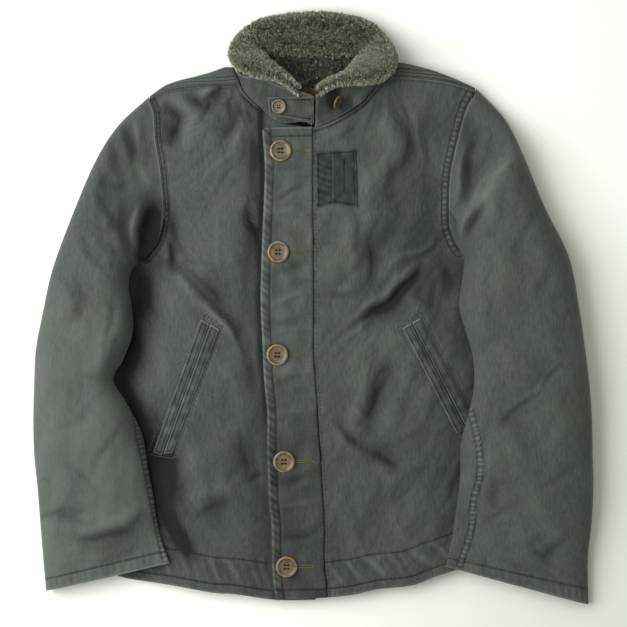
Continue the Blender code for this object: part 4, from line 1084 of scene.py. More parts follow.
def sleeve_shape(hand):
    """Outer and inner loops of a sleeve, and the colour mark at each point, for worn places and for painted
    light and shade.
    """
    armhole = along(ARMHOLE[hand], 0.5 - 0.5 * np.cos(np.linspace(0, math.pi, HALF_AROUND)))
    past = armhole[0] - armhole[1]
    head = np.vstack([armhole[0] + past * CAP_TIP / np.linalg.norm(past), armhole])
    half = len(head) - 1
    rows = [tuple(head[0]) + tuple(head[-1]) + SLEEVE_ROWS[hand][0][4:]] + SLEEVE_ROWS[hand][1:]
    s_half = shares_of(head)
    s = np.concatenate([s_half, s_half[-2:0:-1]])
    is_top = np.arange(len(s)) <= half
    bow_half = head - (head[0] + (head[-1] - head[0]) * s_half[:, None])
    crown_half = front_height(head[:, 0], head[:, 1])
    outward = 1.0 if hand == "left" else -1.0
    loops = {0.0: [], SHELL_WALL: []}
    wear_and_painted_light_rows = []
    even = np.linspace(0, 1, 800)
    centres = table(rows, even)
    run_even = lengths_of(0.5 * (centres[:, 0:2] + centres[:, 2:4]))
    centre_line = graded(run_even[-1], SLEEVE_ZONES) * run_even[-1]
    stations = np.interp(centre_line, run_even, even)
    for t, run in zip(stations, centre_line):
        row = dict(zip(SLEEVE_COLUMNS, table(rows, t)))
        a = np.array([row["outer_x"], row["outer_y"]])
        b = np.array([row["inner_x"], row["inner_y"]])
        length = np.linalg.norm(b - a)
        blunt = 3.0 + 8.3 * (1 - smooth(t / 0.22))
        rise = smooth(t / 0.16)
        for wall_in in loops:
            share = 0.5 + (s - 0.5) * (1 - 2 * wall_in / length)
            bow = np.stack([np.interp(share, s_half, bow_half[:, k]) for k in (0, 1)], axis=1)
            plan = a + (b - a) * share[:, None] + bow * (1 - smooth(t / 0.12))
            plan[:, 0] += outward * SEAM_GAP
            x, y = plan[:, 0], plan[:, 1]
            over_body = np.maximum(smooth((share - 0.66) / 0.14), smooth((t - 0.06) / 0.1))
            clearance = HEAD_CLEARANCE + (SLEEVE_CLEARANCE - HEAD_CLEARANCE) * smooth(t / 0.1)
            floor = under_sleeve(x, y, clearance) * over_body
            crown = np.interp(share, s_half, crown_half)
            top = crown * (1 - rise) + row["height"] * rise
            top = top - crease_depth(x, y, SLEEVE_CREASES[hand]) * smooth(t / 0.05)
            relief, wear_and_painted_light = sleeve_relief(x, y, hand, length * s, centre_line[-1] - run, run)
            edge_fade = 1 - np.abs(2 * s - 1) ** 6
            top = top + relief * smooth(t / 0.03) * edge_fade
            middle = np.maximum(0.42 * top, floor + CLOTH + 0.4)
            top = np.maximum(top, middle + CLOTH + 0.4) - wall_in
            swell = (1 - np.abs(2 * s - 1) ** blunt) ** 0.5
            belly = np.minimum(1, 1.05 * (1 - np.abs(2 * s - 1) ** 4) ** 0.25)
            upper = middle + (top - middle) * swell
            lower = np.maximum(middle * (1 - belly), np.minimum(floor, middle))
            rest = np.maximum(0, rumple(x, y, 97, 60, 2.0)) * edge_fade
            lower = np.minimum(lower + wall_in + rest, middle)
            loops[wall_in].append(np.stack([x, y, np.where(is_top, upper, lower)], axis=1))
            if wall_in == 0.0:
                wear_and_painted_light_rows.append(np.where(is_top, wear_and_painted_light, 0.2 * wear_and_painted_light))
    outer, inner = (np.array(v) for v in loops.values())
    return outer, inner, np.array(wear_and_painted_light_rows)


def sleeve_relief(x, y, hand, across, to_cuff, run):
    """Everything finer than one sleeve's large folds, and its colour marks, painted light and shade among
    them.
    """
    creases = bent_creases(x, y, FINE_SLEEVE_CREASES[hand], 101 if hand == "right" else 111)
    hills = rumple(x, y, 102 + len(hand), 46, 2.0, -0.5 if hand == "right" else 0.5)
    net = crinkle(x, y, 98 + len(hand), 44, 2.2, -0.5 if hand == "right" else 0.6)
    z = -creases + 1.4 * hills + 0.3 * rumple(x, y, 103 + len(hand), 15, 1.6, 0.4) - 0.7 * net
    # Painted light: on the right sleeve the lower part is painted paler, on the left one a ridge line is
    if hand == "right":
        painted_light = 0.32 * smooth((60 - y) / 120)
    else:
        aside = (x - 205) * 0.865 - (y - 137) * 0.5
        along = (x - 205) * 0.5 + (y - 137) * 0.865
        painted_light = (0.25 * bell(aside, 0, 16) + 0.35 * bell(aside, 0, 4))
        painted_light = painted_light * bell(along, 0, 48, 4)
    # Painted shade in the creases, the crinkled lines, the folds and along the painted-shade lines, painted
    # highlight on the ridges
    wear_and_painted_light = painted_light + 0.08 * hills - 0.14 * np.clip(creases, -2, 2) + 0.06 * rumple(x, y, 109, 70) - 0.14 * net
    folds = pressed_folds(x, y, SLEEVE_FOLDS[hand])
    z = z - folds
    wear_and_painted_light = wear_and_painted_light - crease_depth(x, y, SLEEVE_PAINTED_SHADE[hand]) - 0.2 * np.clip(folds, -2, 5)
    wear_and_painted_light = wear_and_painted_light + 0.7 * bell(to_cuff, 0, 1.8) + 0.7 * math.exp(-((run - 1.2) / 1.0) ** 2)
    wear_and_painted_light = wear_and_painted_light - 0.8 * math.exp(-((to_cuff - CUFF_STITCHES) / 1.0) ** 2)
    wear_and_painted_light = wear_and_painted_light + 0.35 * math.exp(-((to_cuff - 7.0) / 6.0) ** 2) * (ladder(across, 108, 9.0) - 0.45)
    z += sewn(np.full(np.shape(x), to_cuff - CUFF_STITCHES), across, 104, 0.9, 1.1, 0.7, 9.0, 7.0)
    d, a = SLEEVE_SEAM[hand].near(x, y)
    long = SLEEVE_SEAM[hand].lengths[-1]
    fade = smooth(np.minimum(a, long - a) / 5 + 0.2)
    band = bell(d, 0, 3.4, 4) * fade
    bumps = ladder(a, 105)
    z += band * (bumps - 0.3)
    z += (sewn(d - 3.6, a, 106, 0.9, 1.0, 0.3) + sewn(d + 3.6, a, 107, 0.9, 1.0, 0.4)) * fade
    bright = 1.6 if hand == "right" else 1.0
    wear_and_painted_light = wear_and_painted_light + band * (bright * bumps ** 2 - 0.3 * bright)
    wear_and_painted_light = wear_and_painted_light - 0.8 * (groove(d - 3.6) + groove(d + 3.6)) * fade
    return z, wear_and_painted_light


def build_sleeve(hand, look):
    outer, inner, wear_and_painted_light = sleeve_shape(hand)
    return tube_mesh("sleeve_%s_cloth" % hand, outer, inner, look, wear_and_painted_light)


def build_collar(look):
    columns, stations = 26, 230
    rows = table(COLLAR_ROWS, np.linspace(0, 1, stations + 1))
    share = np.linspace(0, 1, columns + 1)[None, :, None]
    base, top = rows[:, None, 0:3], rows[:, None, 3:6]
    outside = base + (top - base) * share
    outside[..., 2] = np.maximum(outside[..., 2], 0)
    inward = np.cross(np.gradient(outside, axis=0), np.gradient(outside, axis=1))
    inward /= np.linalg.norm(inward, axis=-1, keepdims=True)
    x, y = outside[..., 0], outside[..., 1]
    in_front = smooth((outside[..., 2] - 34) / 8)
    relief = 0.5 * rumple(x, y, 121, 22, 1.3) - crease_depth(x, y, [
        (22, 238, 34, 256, 6, 2.6),
        (24, 236, 10, 228, 5, 1.0),
        (44, 246, 58, 262, 7, 1.6),
        (40, 262, 30, 240, 5, -1.0),
        (-62, 250, -52, 262, 6, 1.6),
        (-74, 262, -66, 270, 6, 1.4),
    ])
    from_base = np.linalg.norm(outside - base, axis=-1)
    length = lengths_of(rows[:, 0:3])[:, None] * np.ones_like(from_base)
    relief = relief + sewn(from_base - 3.5, length, 122, 0.6, 1.0, 0.3, 6.0, 4.0)
    outside = outside - inward * (relief * in_front)[..., None]
    inside = outside + (COLLAR_CLOTH - 0.3) * inward
    wear_and_painted_light = 0.4 * bell(from_base, 0, 1.4) - 0.27 + 0.2 * rumple(x, y, 123, 16, 2.5, 0.1)
    wear_and_painted_light = wear_and_painted_light + 1.0 * np.exp(-((np.linalg.norm(top - outside, axis=-1) - 0.6) / 1.6) ** 2)
    # Painted shade round the spare button, where the collar cloth forms a hollow
    wear_and_painted_light = wear_and_painted_light - 1.1 * np.exp(-((x - 24) / 13) ** 2 - ((y - 247) / 13) ** 2) * (x > 5)
    wear_and_painted_light[:2] += 0.3
    wear_and_painted_light[-2:] += 0.3
    return shell_mesh("collar_outer", outside, inside, look, wear_and_painted_light * in_front)


def follow(name, corners, tree, lift, thickness, look, rows, columns, relief=None, shape=None,
           pale_top=0.0):
    """A thin piece laid on another piece's own surface, with softly turned and worn edges."""
    plan = quad_patch(corners, rows, columns)
    if shape is not None:
        plan = shape(plan)
    low = np.zeros(plan.shape[:2])
    for i in range(rows + 1):
        for j in range(columns + 1):
            found = drop_on(tree, *plan[i, j])
            low[i, j] = low[i, j - 1] if found is None else found[0]
    low = low + lift
    u = np.linspace(0, 1, columns + 1)[None, :]
    v = np.linspace(0, 1, rows + 1)[:, None]
    wide = np.linalg.norm(plan[0, -1] - plan[0, 0])
    high = np.linalg.norm(plan[-1, 0] - plan[0, 0])
    edge = np.minimum(np.minimum(u, 1 - u) * wide, np.minimum(v, 1 - v) * high)
    x, y = plan[..., 0], plan[..., 1]
    top = thickness * (0.45 + 0.55 * smooth(edge / 1.4)) + 0.3 * rumple(x, y, 131, 12)
    top = top + 0.35 * ladder(x + y, 132, 6.5) * bell(edge, 1.4, 1.2)
    extra, extra_wear_and_painted_light = relief(x, y) if relief else (0.0, 0.0)
    top = top - 0.45 * groove(edge - 2.8) + extra
    lower, upper = raised(plan, low), raised(plan, low + np.maximum(top, 0.3))
    wear_and_painted_light = 0.6 * bell(edge, 0, 1.2) - 0.8 * groove(edge - 2.8, 0.7) - 0.1
    wear_and_painted_light = wear_and_painted_light + 0.2 * rumple(x, y, 133, 14) + extra_wear_and_painted_light
    from_top = (1 - v if plan[-1, 0, 1] > plan[0, 0, 1] else v) * high
    wear_and_painted_light = wear_and_painted_light + pale_top * bell(from_top, 0.6, 1.3)
    return shell_mesh(name, upper, lower, look, wear_and_painted_light)


def patch_relief(x, y):
    """The patch's second layer, the slot in it, and the puckers of its left strip."""
    step = smooth((x - 20.6) / 1.2)
    slot = bell(x, 36.5, 0.9) * smooth((y - 139) / 3) * smooth((178 - y) / 3)
    hem = bell(x, 26, 5.0)
    pucker = (1 - step) * (ladder(y + 0.4 * x, 134, 8.5) - 0.5)
    z = 0.7 * step - 0.8 * slot + 0.7 * pucker + 0.3 * hem * (ladder(y, 135, 7.0) - 0.5)
    # Painted shade in the slot
    wear_and_painted_light = 0.45 * pucker - 0.6 * slot - 0.7 * groove(x - 20.4, 0.8) + 0.25 * bell(x, 22.2, 0.9)
    return z, wear_and_painted_light


def patch_foot(plan):
    """The patch's lower edge isn't straight: it is lower at its right end than in the middle."""
    share = np.linspace(0, 1, plan.shape[0])[:, None]
    plan = plan.copy()
    plan[..., 1] += 5.0 * bell(plan[..., 0], 24, 13.0) * (1 - share) ** 2
    return plan


# Pile

def pile_sections(count, around, shrink):
    half = np.linspace(0, math.pi, around // 2 + 1)
    phi = np.concatenate([half, math.pi + half[1:-1]])
    is_top = np.arange(len(phi)) <= around // 2
    s = 0.5 - 0.5 * np.cos(phi)
    swell = (1 - np.abs(2 * s - 1) ** 2.4) ** 0.5
    belly = (1 - np.abs(2 * s - 1) ** 5) ** 0.5
    sections = []
    for t in np.linspace(0, 1, count):
        row = dict(zip(PILE_COLUMNS, table(PILE_ROWS, t)))
        a = np.array([row["outer_x"], row["outer_y"]])
        b = np.array([row["inner_x"], row["inner_y"]])
        width = np.linalg.norm(b - a)
        tuck = PILE_TUCK * (smooth((0.24 - t) / 0.1) + smooth((t - 0.76) / 0.1))
        a = a + (b - a) * min(0.5, tuck / width)
        plan = a + (b - a) * s[:, None]
        low = row["low_out"] + (row["low_in"] - row["low_out"]) * s
        thick = row["thick_out"] + (row["thick_in"] - row["thick_out"]) * s
        middle = low + 0.42 * thick
        upper = middle + 0.58 * thick * swell - crease_depth(plan[:, 0], plan[:, 1], PILE_CREASES) * swell
        lower = middle - 0.42 * thick * belly
        z = np.where(is_top, np.maximum(upper, low + 0.5 * thick), lower)
        ring = np.column_stack([plan, z])
        core = ring.mean(axis=0)
        offset = ring - core
        size = np.linalg.norm(offset, axis=1, keepdims=True)
        sections.append(core + offset * np.maximum(0.45, 1 - shrink / size))
    return np.array(sections)


def loft_mesh(name, sections, look):
    stations, around = sections.shape[:2]
    at = np.arange(stations * around).reshape(stations, around)
    faces = squares_round(at).reshape(-1, 4)
    points = sections.reshape(-1, 3)
    ends = []
    for ring, k in ((at[0], 0), (at[-1], -1)):
        points = np.vstack([points, sections[k].mean(axis=0)])
        centre = np.full(around, len(points) - 1)
        ends.append(np.stack([ring, np.roll(ring, -1), centre, centre], axis=1))
    faces = np.concatenate([halves(flip_to_face_out(points, faces)), np.concatenate(ends)[:, :3]])
    return mesh_object(name, points, faces, look)


def grow_fur(name, grid, closed, count, length, width, look, seed, towards, region=None):
    """Short curved strands in tufts, rooted on a grid of points [row, column]."""
    rng = np.random.default_rng(seed)
    wrap = np.concatenate([grid, grid[:, :1]], axis=1) if closed else grid
    a, b, c, d = wrap[:-1, :-1], wrap[:-1, 1:], wrap[1:, 1:], wrap[1:, :-1]
    normal = np.cross(c - a, d - b)
    area = np.linalg.norm(normal, axis=-1)
    centre = (a + b + c + d) / 4
    unit = normal / np.maximum(area, 1e-9)[..., None]
    facing = np.sign(np.sum(unit * towards(centre), axis=-1))
    unit = unit * np.where(facing == 0, 1, facing)[..., None]
    weight = area if region is None else area * region(centre)
    weight = (weight / weight.sum()).ravel()

    tufts = max(1, count // 9)
    cell = rng.choice(weight.size, tufts, p=weight)
    i, j = np.unravel_index(cell, area.shape)
    u, v = rng.random((2, tufts, 1))
    tuft = (1 - v) * ((1 - u) * a[i, j] + u * b[i, j]) + v * ((1 - u) * d[i, j] + u * c[i, j])
    n = unit[i, j]
    sway = rng.normal(size=(tufts, 3)) * 0.36
    tuft_tip = n + sway
    tuft_tip /= np.linalg.norm(tuft_tip, axis=1, keepdims=True)
    tuft_long = length * rng.uniform(0.75, 1.15, (tufts, 1))

    own = rng.integers(0, tufts, count)
    scatter = rng.normal(size=(count, 3)) * 1.5
    scatter -= np.sum(scatter * n[own], axis=1, keepdims=True) * n[own]
    root = tuft[own] + scatter - n[own] * 0.4
    tip = tuft[own] + tuft_tip[own] * tuft_long[own] + scatter * 0.45 + rng.normal(size=(count, 3)) * 0.7
    bend = (root + tip) / 2 + n[own] * 0.9 + rng.normal(size=(count, 3)) * 0.7
    side = np.cross(tip - root, rng.normal(size=(count, 3)))
    side /= np.maximum(np.linalg.norm(side, axis=1, keepdims=True), 1e-9)
    w = width * rng.uniform(0.7, 1.3, (count, 1))
    tip[:, 2] = np.maximum(tip[:, 2], 0.3)
    bend[:, 2] = np.maximum(bend[:, 2], 0.3)
    points = np.stack([root - side * w * 0.5, root + side * w * 0.5, bend + side * w * 0.4, tip], axis=1)
    first = (np.arange(count) * 4)[:, None]
    faces = np.concatenate([first + np.array([[0, 1, 2]]), first + np.array([[0, 2, 3]])])
    tone = 0.5 + 0.22 * rng.normal(size=count) + 0.18 * rng.normal(size=tufts)[own]
    tone = np.repeat(np.clip(tone, 0, 1), 4)
    height = np.tile([0.0, 0.0, 0.6, 1.0], count)
    marks = {"tone": tone, "height": height}
    return mesh_object(name, points.reshape(-1, 3), faces, look, marks, soft=False)


# Sewing

class Thread:
    """Gathers many short stitches into one mesh."""

    def __init__(self):
        self.points, self.faces = [], []

    def stitch(self, a, b, up, radius):
        """One stitch: a thin rounded bar from a to b that dips at its ends."""
        a, b, up = (np.asarray(v, float) for v in (a, b, up))
        d = b - a
        d /= max(np.linalg.norm(d), 1e-9)
        side = np.cross(d, up)
        side /= max(np.linalg.norm(side), 1e-9)
        up = np.cross(side, d)
        rings = ((a, 0.35, -0.35), (a + (b - a) * 0.25, 1.0, 0.4), (a + (b - a) * 0.75, 1.0, 0.4),
                 (b, 0.35, -0.35))
        made = []
        for centre, scale, lift in rings:
            for k in range(4):
                turn = math.pi / 4 + k * math.pi / 2
                corner = math.cos(turn) * side + math.sin(turn) * up
                made.append(centre + radius * (scale * corner + lift * up))
        first = 16 * len(self.points)
        self.points.append(made)
        for ring in range(3):
            for k in range(4):
                n = (k + 1) % 4
                self.faces.append([first + ring * 4 + k, first + ring * 4 + n, first + ring * 4 + 4 + n,
                                   first + ring * 4 + 4 + k])
        self.faces.append([first + 3, first + 2, first + 1, first])
        self.faces.append([first + 12, first + 13, first + 14, first + 15])

    def row(self, trees, line, pitch=3.2, share=0.66, radius=0.26, lift=0.12, swing=0.12, seed=0):
        """A row of stitches that follows a line in plan on top of whichever piece is highest."""
        rng = np.random.default_rng(1000 + seed)
        line = np.asarray(line, float)
        length = lengths_of(line)
        count = int(length[-1] / pitch)
        for k in range(count):
            ends = []
            for at in (k * pitch, (k + share) * pitch):
                p = np.array([np.interp(at, length, line[:, 0]), np.interp(at, length, line[:, 1])])
                p = p + rng.normal(size=2) * swing
                found = [drop_on(tree, *p) for tree in trees]
                found = [f for f in found if f is not None]
                if not found:
                    break
                z, up = max(found, key=lambda f: f[0])
                ends.append((np.array([p[0], p[1], z + lift]), up))
            if len(ends) == 2 and abs(ends[0][0][2] - ends[1][0][2]) < 2.5:
                self.stitch(ends[0][0], ends[1][0], ends[0][1], radius)

    def build(self, name, look):
        points = np.concatenate([np.array(p) for p in self.points])
        return mesh_object(name, points, np.array(self.faces), look)


# Looks

class Look:
    """A material. Each method adds a node and returns its result."""

    def __init__(self, name, inputs):
        self.material = bpy.data.materials.new(name)
        self.material.use_nodes = True
        self.tree = self.material.node_tree
        self.shader = self.tree.nodes["Principled BSDF"]
        self.set_inputs(self.shader, inputs)

    def set_inputs(self, made, inputs):
        for key, value in inputs.items():
            if isinstance(value, bpy.types.NodeSocket):
                self.tree.links.new(value, made.inputs[key])
            else:
                made.inputs[key].default_value = value

    def add(self, kind, inputs=None, **settings):
        made = self.tree.nodes.new(kind)
        for key, value in settings.items():
            setattr(made, key, value)
        self.set_inputs(made, inputs or {})
        return made

    def place(self):
        return self.add("ShaderNodeTexCoord").outputs["Object"]

    def mark(self, name):
        return self.add("ShaderNodeAttribute", attribute_name=name).outputs["Fac"]

    def noise(self, vector, scale, detail=3.0, roughness=0.5):
        return self.add("ShaderNodeTexNoise", {"Vector": vector, "Scale": scale, "Detail": detail,
                                               "Roughness": roughness}).outputs["Fac"]

    def ranged(self, value, low, high, to_low, to_high):
        return self.add("ShaderNodeMapRange", {"Value": value, "From Min": low, "From Max": high,
                                               "To Min": to_low, "To Max": to_high}).outputs["Result"]

    def mixed(self, factor, a, b, blend="MIX"):
        a, b = ((*colour, 1) if isinstance(colour, tuple) else colour for colour in (a, b))
        made = self.add("ShaderNodeMix", data_type="RGBA", blend_type=blend)
        self.set_inputs(made, {0: factor, 6: a, 7: b})
        return made.outputs[2]

    def times(self, colour, shade):
        return self.mixed(1.0, colour, shade, "MULTIPLY")

    def coloured(self, colour):
        self.set_inputs(self.shader, {"Base Color": colour})
        return self.material


def cloth_look(name, green, brown, worn):
    """Faded heavy cotton: greener and browner places and slubs along it; pale where worn and as painted
    highlight, dark in stitch grooves and as painted shade.
    """
    look = Look(name, {"Roughness": 0.85, "Specular IOR Level": 0.2, "Sheen Weight": 0.07,
                       "Sheen Roughness": 0.5})
    where = look.place()
    lengthwise = look.add("ShaderNodeMapping", {"Vector": where, "Scale": (1.0, 0.22, 1.0)})
    slub = look.noise(lengthwise.outputs["Vector"], 430.0, 3.0, 0.7)
    grain = look.noise(where, 900.0, 2.0, 0.6)
    twill = look.add("ShaderNodeTexWave", {"Vector": where, "Scale": 210.0, "Distortion": 1.6, "Detail": 2.0},
                     bands_direction="DIAGONAL")
    blotch, drift = look.noise(where, 20.0, 4.0, 0.6), look.noise(where, 9.0, 3.0, 0.5)
    wear_and_painted_light = look.mark("wear_and_painted_light")

    base = look.mixed(look.ranged(blotch, 0.3, 0.7, 0.0, 1.0), green, brown)
    for shade, darkest, palest in ((drift, 0.93, 1.07), (slub, 0.78, 1.24), (grain, 0.9, 1.1)):
        base = look.times(base, look.ranged(shade, 0.3, 0.7, darkest, palest))
    # Marks above 0 mix in the pale colour, for worn places and for painted highlight; marks below 0 darken
    # the cloth, in stitch grooves and as painted shade
    base = look.mixed(look.ranged(wear_and_painted_light, 0.0, 1.0, 0.0, 0.85), base, worn)
    base = look.times(base, look.ranged(wear_and_painted_light, -1.0, 0.0, 0.16, 1.0))

    twill_share = 0.15
    height = look.add("ShaderNodeMath", {0: twill.outputs["Fac"], 1: twill_share, 2: slub},
                      operation="MULTIPLY_ADD")
    bump = look.add("ShaderNodeBump", {"Height": height.outputs[0], "Strength": 0.4, "Distance": 0.0005})
    look.set_inputs(look.shader, {"Normal": bump.outputs["Normal"]})
    return look.coloured(base)


def fur_look(name, dark, light):
    """Strands that are darker at their roots."""
    look = Look(name, {"Roughness": 0.75, "Specular IOR Level": 0.3})
    tone = look.mixed(look.mark("tone"), dark, light)
    return look.coloured(look.times(tone, look.ranged(look.mark("height"), 0.0, 1.0, 0.35, 1.15)))


def plain_look(name, colour, roughness, specular, mottled):
    look = Look(name, {"Roughness": roughness, "Specular IOR Level": specular})
    darker, paler = (tuple(c * (1 + sign * mottled) for c in colour) for sign in (-1, 1))
    return look.coloured(look.mixed(look.noise(look.place(), 300.0), darker, paler))


def table_look():
    """A white surface, with less light on it at the corner farthest from the window."""
    look = Look("table_white", {"Roughness": 0.8, "Specular IOR Level": 0.1})
    far = look.add("ShaderNodeVectorMath", {0: look.place(), 1: (0.62, -0.58, 0)}, operation="DISTANCE")
    lit = look.ranged(far.outputs["Value"], 0.0, 0.8, 0.0, 1.0)
    return look.coloured(look.mixed(lit, (0.54, 0.555, 0.51), (0.9, 0.9, 0.89)))


def horn_look(name, dish, rim):
    """Turned horn: the mark called rim says how pale it is, from the darker ring inside the rim to the pale
    rim.
    """
    look = Look(name, {"Roughness": 0.3, "Specular IOR Level": 0.6})
    tone = look.mixed(look.mark("rim"), dish, rim)
    mottle = look.ranged(look.noise(look.place(), 170.0), 0.3, 0.7, 0.6, 1.4)
    return look.coloured(look.times(tone, mottle))


# Buttons

# Radius and height of each ring of a button, and where its holes are, as shares of its radius
BUTTON_RINGS = [(0.0, 0.0), (0.55, 0.0), (0.8, 0.02), (0.93, 0.07), (0.985, 0.13), (1.0, 0.18),
                (0.985, 0.24), (0.94, 0.29), (0.88, 0.315), (0.82, 0.315), (0.77, 0.3), (0.72, 0.272),
                (0.66, 0.258), (0.55, 0.25), (0.4, 0.246), (0.0, 0.244)]
BUTTON_POINTS = 56
HOLE_PLACE = 0.235
HOLE_RADIUS = 0.1
THREAD_PLACE = 0.166
THREAD_HEIGHT = 0.246
BUTTON_RADIUS = 13.0
SMALL_BUTTON_RADIUS = 8.8


def build_button(node_name, radius, look, thread_look):
    """A turned four-hole button in the place and tilt of its solid, sewn with two parallel bars of thread."""
    solid = bpy.data.objects[node_name]
    points = np.array([v.co for v in solid.data.vertices])
    middle = points.mean(axis=0)
    axes = np.linalg.svd(points - middle, full_matrices=False)[2]
    up = axes[2] * (1 if axes[2][2] > 0 else -1)
    u = np.cross(up, [0, 1, 0])
    u /= np.linalg.norm(u)
    v = np.cross(up, u)
    across_u, across_v, height = ((points - middle) @ k for k in (u, v, up))
    centre = middle + u * 0.5 * (across_u.min() + across_u.max())
    centre = centre + v * 0.5 * (across_v.min() + across_v.max()) + up * height.min()
    around = BUTTON_POINTS
    r = radius * MM
    turn = np.linspace(0, 2 * math.pi, around, endpoint=False)
    rings = np.array([[(wide * math.cos(t), wide * math.sin(t), z) for t in turn]
                      for wide, z in BUTTON_RINGS[1:-1]])
    poles = [[0, 0, BUTTON_RINGS[0][1]], [0, 0, BUTTON_RINGS[-1][1]]]
    flat = np.vstack([rings.reshape(-1, 3), poles]) * r
    at = np.arange(rings.shape[0] * around).reshape(rings.shape[0], around)
    nxt = np.roll(at, -1, axis=1)
    faces = squares_round(at).reshape(-1, 4).tolist()
    n = at.size
    faces += [[n, nxt[0][k], at[0][k]] for k in range(around)]
    faces += [[n + 1, at[-1][k], nxt[-1][k]] for k in range(around)]
    mesh = bpy.data.meshes.new(node_name + "_turned")
    mesh.from_pydata(flat.tolist(), [], faces)
    mesh.materials.append(look)
    made = bpy.data.objects.new(node_name + "_turned", mesh)
    bpy.context.scene.collection.objects.link(made)

    holes = bpy.data.meshes.new("holes")
    hole_points, hole_faces = [], []
    for k in range(4):
        angle = math.pi / 4 + k * math.pi / 2
        cx, cy = HOLE_PLACE * r * math.cos(angle), HOLE_PLACE * r * math.sin(angle)
        first = len(hole_points)
        for z in (-r, r):
            for j in range(16):
                hole_points.append((cx + HOLE_RADIUS * r * math.cos(j * math.pi / 8),
                                    cy + HOLE_RADIUS * r * math.sin(j * math.pi / 8), z))
        for j in range(16):
            j2 = (j + 1) % 16
            hole_faces.append([first + j, first + j2, first + 16 + j2, first + 16 + j])
        hole_faces.append([first + j for j in reversed(range(16))])
        hole_faces.append([first + 16 + j for j in range(16)])
    holes.from_pydata(hole_points, [], hole_faces)
    cutter = bpy.data.objects.new("holes", holes)
    bpy.context.scene.collection.objects.link(cutter)
    cut = made.modifiers.new("holes", "BOOLEAN")
    cut.operation, cut.solver, cut.object = "DIFFERENCE", "EXACT", cutter
    result = bpy.data.meshes.new_from_object(made.evaluated_get(bpy.context.evaluated_depsgraph_get()))
    made.modifiers.clear()
    bpy.data.objects.remove(cutter)
    made.data = result
    co = np.array([p.co for p in result.vertices])
    out = np.hypot(co[:, 0], co[:, 1]) / r
    rim = 0.35 + 0.65 * smooth((out - 0.8) / 0.1) - 0.5 * bell(out, 0.73, 0.05)
    rim = np.where(co[:, 2] < 0.2 * r, np.minimum(rim, 0.4), rim)
    layer = result.attributes.new("rim", "FLOAT", "POINT")
    layer.data.foreach_set("value", np.clip(rim, 0, 1).astype(np.float32))
    placed = centre + co[:, :1] * u + co[:, 1:2] * v + co[:, 2:3] * up
    result.vertices.foreach_set("co", placed.astype(np.float32).ravel())
    result.update()
    result.shade_smooth()
    result.set_sharp_from_angle(angle=math.radians(48))

    thread = Thread()
    for sign in (-1, 1):
        for j in (-0.35, 0.0, 0.35):
            in_v, in_up = sign * THREAD_PLACE * r + j * 0.05 * r, THREAD_HEIGHT * r
            ends = [(centre + in_u * u + in_v * v + in_up * up) / MM + CENTRE
                    for in_u in (-THREAD_PLACE * r, THREAD_PLACE * r)]
            thread.stitch(ends[0], ends[1], up, 0.03 * radius)
    sewn_on = thread.build(node_name + "_thread", thread_look)
    return made, sewn_on


# The whole jacket

def ride(obj, slot, *replaced):
    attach(obj, "root")
    if replaced:
        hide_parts(*replaced)
    return obj


# The camera hangs over the middle of the picture, 627 pixels of 1.2 mm, from far enough that it sees it flat
PICTURE_WIDTH = 0.7524
PICTURE_MIDDLE = (0.0, -0.0063)
MEAN_HEIGHT = 0.035
CAMERA_DISTANCE = 4.0
SENSOR = 36.0
WINDOW = (-1.35, 0.25, 1.65)
TABLE_GAP = 0.0003


def camera_and_light():
    scene = bpy.context.scene
    scene.view_settings.view_transform = "Standard"
    scene.view_settings.look = "None"
    camera = bpy.data.cameras.new("camera")
    camera.sensor_width = SENSOR
    camera.lens = SENSOR * CAMERA_DISTANCE / PICTURE_WIDTH
    camera.clip_end = 20
    shot = bpy.data.objects.new("camera", camera)
    shot.location = (*PICTURE_MIDDLE, CAMERA_DISTANCE + MEAN_HEIGHT)
    scene.collection.objects.link(shot)
    scene.camera = shot

    world = bpy.data.worlds.new("room")
    scene.world = world
    world.use_nodes = True
    background = world.node_tree.nodes["Background"]
    background.inputs["Color"].default_value = (0.95, 1.0, 0.88, 1)
    background.inputs["Strength"].default_value = 0.52

    panel = bpy.data.lights.new("window", "AREA")
    panel.shape = "RECTANGLE"
    panel.size, panel.size_y = 2.0, 2.0
    panel.energy = 62
    panel.color = (0.99, 1.0, 0.985)
    lamp = bpy.data.objects.new("window", panel)
    lamp.location = WINDOW
    lamp.rotation_euler = Vector((-1.35, 0.25, 1.6)).to_track_quat("Z", "Y").to_euler()
    scene.collection.objects.link(lamp)

    floor = bpy.data.meshes.new("table")
    floor.from_pydata([(-3, -3, 0), (3, -3, 0), (3, 3, 0), (-3, 3, 0)], [], [(0, 1, 2, 3)])
    floor.materials.append(table_look())
    surface = bpy.data.objects.new("table", floor)
    surface.location.z = -TABLE_GAP
    scene.collection.objects.link(surface)


